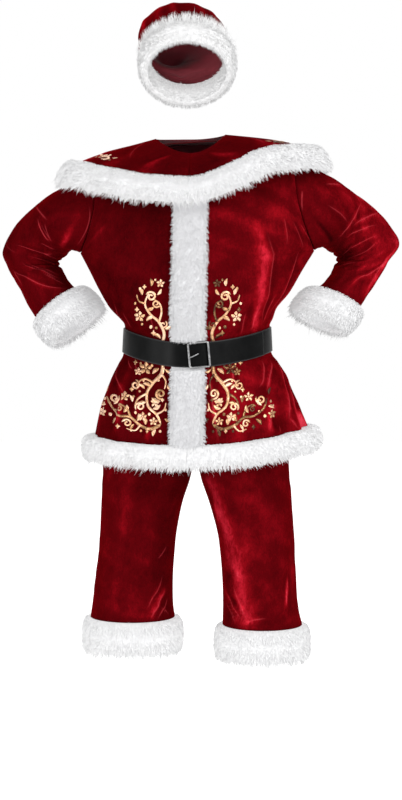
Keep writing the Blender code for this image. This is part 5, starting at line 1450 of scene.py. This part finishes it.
belt = dict(
    height=57, centreX=22, offVelvet=1.2, wall=2.6, layerGap=0.6, overPlacket=6.2, placketSpread=58,
    probe=0.02, startRadius=190, tipX=172, tipRadius=196, overlap=(0.45, 0.05), steps=240,
    # the section: bevelled edges, and on the outer face a pressed line near each edge; last, the painted
    # highlight along both edges
    edge=1.1, faceMargin=2.2, facePoints=25, edgeLine=3.2, lineWidth=0.9, lineDeep=0.35, highlightIn=0.8,
    highlightWidth=1.6)
buckle = dict(
    x=23, width=51, height=61, wire=5.0, corner=4.0, offStrap=1.4, lean=math.radians(5), flattened=0.35,
    cornerPoints=9, steps=120, sides=16,
    # the prong from its root to its tip, as (towards -X, up, out) from the buckle's middle
    prong=[
        (1.0, 2.4, -0.2), (2.5, 2, 0.6), (9, -0.4, 2.6), (17, -3, 4.4), (21, -3.6, 4.2), (24.5, -4, 4.0)],
    prongWire=3.2, prongSteps=40, prongRound=3)


def beltLine(angle, layer):
    # a point of the belt's middle line and its ways out and up; layer 1 is the free end over the strap
    low, high = roundBody(jacket["beltLow"], angle), roundBody(jacket["beltTop"], angle)
    probes = belt["probe"], -belt["probe"]
    ahead, behind = (roundBody(jacket["beltMiddle"], angle + probe) for probe in probes)
    middle, up = (low + high) / 2, unit(high - low)
    outward = unit(np.cross(unit(ahead - behind), up))
    away = middle - np.array((belt["centreX"], 0, 0))
    outward = outward * np.sign((outward * away)[..., :2].sum(axis=-1))[..., None]
    overFur = np.exp(-(middle[..., 0] / belt["placketSpread"]) ** 4) * (np.cos(angle) >= 0)
    stand = belt["wall"] + belt["offVelvet"] + belt["overPlacket"] * overFur
    stand = stand + layer * (belt["wall"] + belt["layerGap"])
    return middle + outward * stand[..., None], outward, up


def makeBelt():
    start = math.asin(buckle["x"] / belt["startRadius"])
    end = 2 * math.pi + math.asin(belt["tipX"] / belt["tipRadius"])
    angle = np.linspace(start, end, belt["steps"])
    secondFrom, secondAt = (2 * math.pi - before for before in belt["overlap"])
    layer = ease((angle - secondFrom) / (secondAt - secondFrom))
    point, outward, up = beltLine(angle, layer)
    half, wall, edge = belt["height"] / 2, belt["wall"], belt["edge"]
    # the section as (height, depth from the outer face), from the outer face round the edges to the inner
    flatHalf = half - belt["faceMargin"]
    face = np.linspace(-flatHalf, flatHalf, belt["facePoints"])
    face = np.concatenate([[edge - half], face, [half - edge]])
    pressed = belt["lineDeep"] * fall(np.abs(face) - (half - belt["edgeLine"]), belt["lineWidth"])
    inner = [(half, -edge), (half, edge - wall), (half - edge, -wall), (0, -wall), (edge - half, -wall),
             (-half, edge - wall), (-half, -edge)]
    section = np.concatenate([np.stack([face, -pressed], axis=-1), inner])
    grid = point[:, None] + up[:, None] * section[None, :, :1] + outward[:, None] * section[None, :, 1:]
    rows, columns = grid.shape[:2]
    flat, faces = gridShell(grid, point - outward * wall / 2)
    # painted highlight: a paler band along the belt's top and bottom edges
    edgeHighlight = np.clip(fall(np.abs(section[:, 0]) - half + belt["highlightIn"], belt["highlightWidth"]), 0, 1)
    corners = np.arange(columns)
    cap = np.stack([np.full(columns - 2, columns - 1), corners[:-2], corners[1:-1]], axis=-1)
    caps = np.concatenate([cap, cap[:, ::-1] + (rows - 1) * columns])
    edgeHighlight = np.broadcast_to(edgeHighlight[None], grid.shape[:2])
    mesh = meshFrom("leatherBelt", flat, [faces, caps], {"edgeHighlight": edgeHighlight})
    addPiece("leatherBelt", mesh, [finishes["belt"]], None, ["belt_strap"])


def rodAlong(points, radius, closed):
    # a round rod through points, as rows of rings
    if closed:
        ahead = np.roll(points, -1, axis=0) - np.roll(points, 1, axis=0)
    else:
        ahead = np.gradient(points, axis=0)
    ahead = unit(ahead)
    aside = unit(np.cross(ahead, np.array((0.03, -1.0, 0.02))))
    over = np.cross(aside, ahead)
    turn = wholeTurn(buckle["sides"])[None, :, None]
    return points[:, None] + radius * (np.cos(turn) * aside[:, None] + np.sin(turn) * over[:, None])


def buckleOutline(halfWidth, halfHeight, corner):
    # a rectangle with round corners, as points at even steps
    outline = []
    for x, z, first in ((1, 1, 0), (-1, 1, 90), (-1, -1, 180), (1, -1, 270)):
        for turn in np.linspace(0, 90, buckle["cornerPoints"]):
            a = math.radians(first + turn)
            outline.append((x * halfWidth + corner * math.cos(a), z * halfHeight + corner * math.sin(a)))
    outline = np.array(outline + outline[:1])
    step = np.concatenate([[0], np.cumsum(np.linalg.norm(np.diff(outline, axis=0), axis=1))])
    even = np.linspace(0, step[-1], buckle["steps"], endpoint=False)
    return np.stack([np.interp(even, step, outline[:, k]) for k in range(2)], axis=-1)


def makeBuckle():
    angle = np.array([2 * math.pi + math.asin(buckle["x"] / belt["startRadius"])])
    centre, outward, up = (part[0] for part in beltLine(angle, np.array([1.0])))
    across = unit(np.cross(outward, up))
    across = across if across[0] > 0 else -across
    lean = buckle["lean"]
    turnUp = up * math.cos(lean) - across * math.sin(lean)
    turnAcross = across * math.cos(lean) + up * math.sin(lean)
    radius, corner = buckle["wire"] / 2, buckle["corner"]
    centre = centre + outward * (radius + buckle["offStrap"])
    halfWidth, halfHeight = (buckle[size] / 2 - radius - corner for size in ("width", "height"))
    outline = buckleOutline(halfWidth, halfHeight, corner)
    ring = centre + outline[:, :1] * turnAcross + outline[:, 1:] * turnUp
    grid = rodAlong(ring, radius, True)
    # flattened a little towards the strap, as a cast frame is
    off = (grid - ring[:, None]) @ outward
    grid = grid - (np.minimum(off, 0) * buckle["flattened"])[..., None] * outward
    flat, faces = gridShell(grid, ring, closedRows=True)
    mesh = meshFrom("buckleFrame", flat, [faces])
    addPiece("buckleFrame", mesh, [finishes["buckle"]], None, ["buckle_frame"])
    makeProng(centre, outward, turnUp, turnAcross)


def makeProng(centre, outward, turnUp, turnAcross):
    # a rod whose ends are drawn in to a round, each closed by a fan of triangles round a point
    steps, sides = buckle["prongSteps"], buckle["sides"]
    prong = through(buckle["prong"], np.linspace(0, len(buckle["prong"]) - 1, steps))
    line = centre - prong[:, :1] * turnAcross + prong[:, 1:2] * turnUp + prong[:, 2:] * outward
    fromEnd = np.minimum(np.arange(steps), np.arange(steps)[::-1]) / buckle["prongRound"]
    ends = np.sqrt(np.clip(1 - (1 - fromEnd).clip(0, 1) ** 2, 0.01, 1))
    grid = rodAlong(line, buckle["prongWire"] / 2 * ends[:, None, None], False)
    flat, faces = gridShell(grid, line)
    flat = np.vstack([flat, line[:1], line[-1:]])
    around = np.arange(sides)
    fans = [np.stack([np.full(sides, steps * sides + k), around + row, np.roll(around, -1) + row], axis=-1)
            for k, row in ((0, 0), (1, (steps - 1) * sides))]
    fans = np.concatenate([outwardFaces(flat, fan, line.mean(axis=0)) for fan in fans])
    mesh = meshFrom("buckleProng", flat, [faces, fans])
    addPiece("buckleProng", mesh, [finishes["buckle"]], None, ["buckle_prong"])


makeBelt()
makeBuckle()
print("belt and buckle made")


# gold foil print: leafy vines, flowers, diamonds and dots, laid on the velvet in its own thickness

foil = dict(
    lift=1.0, wall=0.35, steps=20, roundStart=0.06, taperFrom=0.9, curlSteps=32, curlIn=0.78, curlTaper=0.8,
    leafSteps=9, leafBend=0.12, leafFull=(1.15, 0.3), squeeze=0.8, rings=(0.08, 0.55, 1.0), diamondSides=16,
    diamondHollow=0.55, shineSize=26, seed=101, capeSeed=111, capeMmPerDegree=3.6, facing=(0, -1.0, 0.35),
    # painted reflection: each side's brightness and how much its motifs differ in it
    light={-1: (0.43, 0.26), 1: (0.10, 0.52)}, shineSteps=(-1, -0.4, 0.5, 0.8, 1),
    # the front panels' design by (from the centre line, height): vines with their widths at both ends, curls
    # of (x, z, radius, start degrees, turns, width), leaves of (x, z, degrees, length, width), flowers,
    # diamonds and dots of (x, z, size)
    vines=[
        ([(60, -468), (54, -440), (66, -414), (86, -396), (98, -372), (88, -346)], 7.97, 3.12),
        ([(66, -414), (60, -392), (64, -372), (78, -362)], 5.22, 2.08),
        ([(98, -372), (112, -366), (117, -352)], 4.35, 2.08),
        ([(56, -505), (60, -532), (78, -552), (92, -576), (88, -604), (68, -622), (58, -644)], 8.7, 4.42),
        ([(58, -644), (80, -655), (106, -648), (128, -630), (152, -628), (172, -612),
          (180, -588)], 8.12, 3.12),
        ([(78, -552), (96, -544), (110, -552), (114, -568)], 5.22, 2.08),
        ([(92, -576), (110, -588), (118, -606)], 5.51, 2.08),
        ([(128, -630), (134, -612), (148, -602), (156, -606)], 4.93, 2.08),
        ([(60, -532), (50, -548), (52, -566)], 4.64, 2.08),
        ([(106, -648), (118, -660), (136, -656)], 4.35, 1.82),
        ([(68, -622), (52, -612), (48, -596)], 4.64, 2.08)],
    curls=[
        (84, -356, 12.5, 20, 1.4, 4.93), (72, -372, 10, 200, 1.3, 4.06), (118, -558, 11.2, 90, 1.4, 4.35),
        (106, -606, 11.2, 320, 1.4, 4.64), (166, -590, 11.2, 150, 1.4, 4.35),
        (60, -576, 12.5, 250, 1.5, 4.93), (134, -644, 10, 10, 1.3, 4.06), (56, -420, 10, 120, 1.2, 3.77),
        (150, -612, 7.5, 60, 1.2, 3.19)],
    leaves=[
        (62, -452, 30, 19.5, 8.4), (52, -430, 150, 17.2, 8.4), (78, -402, -30, 19.5, 9.1),
        (94, -386, 160, 18.4, 8.4), (104, -352, 60, 18.4, 8.4), (70, -352, 120, 16.1, 7),
        (84, -332, 80, 17.2, 7.7), (66, -520, -40, 19.5, 9.1), (52, -522, 200, 16.1, 7),
        (84, -560, 20, 18.4, 8.4), (80, -586, 200, 20.7, 9.1), (98, -566, 40, 16.1, 7),
        (94, -596, -20, 18.4, 8.4), (76, -610, 150, 18.4, 8.4), (50, -632, 190, 17.2, 8.4),
        (70, -656, -70, 16.1, 7.7), (92, -646, 70, 19.5, 9.1), (112, -638, 100, 17.2, 8.4),
        (120, -646, -60, 14.9, 7), (140, -620, 110, 18.4, 8.4), (158, -634, -50, 17.2, 7.7),
        (168, -604, 120, 17.2, 7.7), (182, -606, -20, 17.2, 7.7), (186, -580, 70, 16.1, 7),
        (124, -596, 70, 16.1, 7), (46, -556, 230, 14.9, 7)],
    flowers=[
        (110, -402, 12), (96, -520, 13.8), (112, -528, 8.4), (72, -596, 9.6), (140, -584, 10.2),
        (192, -624, 9.6), (74, -638, 9), (64, -326, 9), (100, -628, 10.2)],
    diamonds=[
        (116, -386, 6.5), (78, -440, 7), (120, -508, 6), (56, -590, 5), (126, -568, 6), (152, -652, 6),
        (100, -334, 6), (88, -660, 5)],
    dots=[
        (72, -428, 3.38), (84, -426, 4.42), (104, -420, 3.12), (110, -338, 3.64), (76, -318, 2.86),
        (120, -372, 3.38), (82, -514, 3.9), (108, -510, 3.12), (66, -546, 3.38), (100, -548, 2.86),
        (122, -584, 3.12), (108, -572, 2.6), (84, -622, 3.9), (48, -612, 3.12), (116, -620, 3.64),
        (140, -638, 2.86), (164, -618, 3.38), (176, -628, 3.9), (190, -596, 3.12), (66, -604, 2.6),
        (104, -660, 3.38), (126, -660, 2.86), (60, -660, 3.38), (196, -606, 2.6), (56, -480, 3.9),
        (92, -458, 3.9), (118, -460, 3.12), (70, -480, 3.38)],
    # the cape's design in the same terms, in millimetres from (degrees from the centre front, row)
    capeSpot=(61, 2.2), capeVines=[([(-22, -6), (-8, 4), (8, 2), (20, -8)], 6.52, 2.34)],
    capeCurls=[(-10, -6, 8.8, 60, 1.3, 3.92), (14, 8, 7.7, 250, 1.3, 3.64)],
    capeLeaves=[(2, 6, 70, 15.4, 6.75), (-24, 4, 150, 14.3, 6.75), (24, 2, 20, 14.3, 6.75)],
    capeDots=[(0, -10, 2.4), (30, -8, 2.2), (-30, -8, 2.2)])


def ribbonShape(line, widthStart, widthEnd):
    # a strip with a round start and a tapering end along a smooth line
    t = np.linspace(0, 1, foil["steps"])
    line = through(line, t * (len(line) - 1))
    ahead = unit(np.gradient(line, axis=0))
    aside = np.stack([-ahead[:, 1], ahead[:, 0]], axis=-1)
    width = (widthStart + (widthEnd - widthStart) * t) / 2
    for fromEnd in (t / foil["roundStart"], (1 - t) / (1 - foil["taperFrom"])):
        width = width * np.sqrt(np.clip(1 - (1 - fromEnd).clip(0, 1) ** 2, 0.04, 1))
    grid = line[:, None] + aside[:, None] * (width[:, None] * np.array([-1, 0, 1]))[..., None]
    return grid.reshape(-1, 2), gridFaces(*grid.shape[:2])


def curlShape(x, z, radius, start, turns, width):
    # a spiral that winds inwards
    t = np.linspace(0, 1, foil["curlSteps"])
    angle = math.radians(start) + t * turns * 2 * math.pi
    away = radius * (1 - foil["curlIn"] * t ** 0.8)
    line = np.stack([x + away * np.cos(angle), z + away * np.sin(angle)], axis=-1)
    return ribbonShape(line, width, width * foil["curlTaper"])


def leafShape(x, z, turn, length, width):
    # a pointed leaf, broadest below its middle, with a bowed midrib
    t, side = np.linspace(0, 1, foil["leafSteps"])[:, None], np.array([-1, 0, 1.0])[None]
    full, thinning = foil["leafFull"]
    across = side * width / 2 * np.sin(math.pi * np.clip(t, 0.03, 0.985)) ** 0.8 * (full - thinning * t)
    along = length * t + 0 * side
    bend = across + length * foil["leafBend"] * np.sin(math.pi * t)
    c, s = math.cos(math.radians(turn)), math.sin(math.radians(turn))
    points = np.stack([x + along * c - bend * s, z + along * s + bend * c], axis=-1)
    return points.reshape(-1, 2), gridFaces(*points.shape[:2])


def discShape(x, z, radius, sides=12, corner=0.0):
    # a disc of rings; with a corner share its outline is a diamond with hollow sides
    turn, ring = wholeTurn(sides)[None], np.array(foil["rings"])[:, None]
    reach = radius * ring * ((1 - corner) + corner * np.abs(np.cos(2 * turn)) ** 1.5)
    grid = np.stack([x + foil["squeeze"] * reach * np.cos(turn), z + reach * np.sin(turn)], axis=-1)
    centre = np.array([[0, k, k + 1, k + 1] for k in range(1, sides - 1)])
    return grid.reshape(-1, 2), np.concatenate([gridFaces(*grid.shape[:2], closedColumns=True), centre])


def flowerShapes(x, z, size):
    # five petals round a small disc
    petals = [leafShape(x + 0.22 * size * math.cos(a), z + 0.22 * size * math.sin(a), math.degrees(a),
                        size * 0.85, size * 0.62) for a in wholeTurn(5) + 0.3]
    return petals + [discShape(x, z, size * 0.2, 10)]


def motifs(vines, curls, leaves, flowers, diamonds, dots):
    # groups of shapes, each a motif that is lit as one
    shapes = [[ribbonShape(*vine)] for vine in vines] + [[curlShape(*curl)] for curl in curls]
    shapes += [[leafShape(*leaf)] for leaf in leaves] + [flowerShapes(*flower) for flower in flowers]
    shapes += [[discShape(*diamond, foil["diamondSides"], foil["diamondHollow"])] for diamond in diamonds]
    return shapes + [[discShape(*dot)] for dot in dots]


def frontSpot(side, across, height):
    # the panel's own coordinates for a spot by its height: halving the span of places until it fits
    low, high = np.zeros(len(across)), np.full(len(across), float(jacket["armpit"]))
    for _ in range(24):
        places = (low + high) / 2
        left, right, front, _ = fourPoints(through(jacket["rows"], places))
        edge = left if side < 0 else right
        s = turnAt(across, edge, front)
        here = edge[:, 2] + (front[:, 2] - edge[:, 2]) * np.cos(s) ** 2
        low, high = np.where(here < height, places, low), np.where(here < height, high, places)
    return places, s


def printPiece(name, groups, onCloth, seed, brightness, lit):
    # one mesh of all shapes, each group with a painted reflection's brightness of its own, laid on the cloth
    # by onCloth
    rng = np.random.default_rng(seed)
    points, faces, shine, offset = [], [], [], 0
    for group in groups:
        value = brightness + lit * rng.choice(foil["shineSteps"])
        for flat, quads in group:
            patchy = smoothNoise(flat[:, 0], flat[:, 1], foil["shineSize"], seed, 2)
            points.append(flat)
            faces.append(quads + offset)
            shine.append(value + lit * 0.5 * patchy)
            offset += len(flat)
    points, faces = onCloth(np.concatenate(points)), np.concatenate(faces)
    normals = np.cross(points[faces[:, 2]] - points[faces[:, 0]], points[faces[:, 3]] - points[faces[:, 1]])
    faces = np.where((normals @ np.array(foil["facing"]) < 0)[:, None], faces[:, ::-1], faces)
    # a face that names one corner twice, at either end of its list, is a triangle
    atEnd, atStart = faces[:, 2] == faces[:, 3], faces[:, 0] == faces[:, 1]
    triangles = np.concatenate([faces[atEnd][:, :3], faces[atStart][:, 1:]])
    mesh = meshFrom(name, points, [faces[~atEnd & ~atStart], triangles], {"shine": np.concatenate(shine)})
    addPiece(name, mesh, [finishes["foil"]], foil["wall"])


def makePrint():
    design = motifs(*(foil[kind] for kind in ("vines", "curls", "leaves", "flowers", "diamonds", "dots")))
    spray = motifs(foil["capeVines"], foil["capeCurls"], foil["capeLeaves"], [], [], foil["capeDots"])
    for side, word in bothSides:
        def onFront(flat, side=side):
            places, s = frontSpot(side, flat[:, 0], flat[:, 1])
            return bodyPoints(side, -1, places, s, True, foil["lift"])[0]

        def onCape(flat, side=side):
            middle, row = foil["capeSpot"]
            degrees = middle + flat[:, 0] / foil["capeMmPerDegree"]
            step = np.radians(degrees if side > 0 else 360 - degrees)
            return capePoints(row - flat[:, 1] / cape["rowLength"], step, foil["lift"])[0]

        printPiece("foilPrint_" + word, design, onFront, foil["seed"] + side, *foil["light"][side])
        printPiece("foilPrintCape_" + word, spray, onCape, foil["capeSeed"] + side, *foil["light"][side])


makePrint()
print("print made")
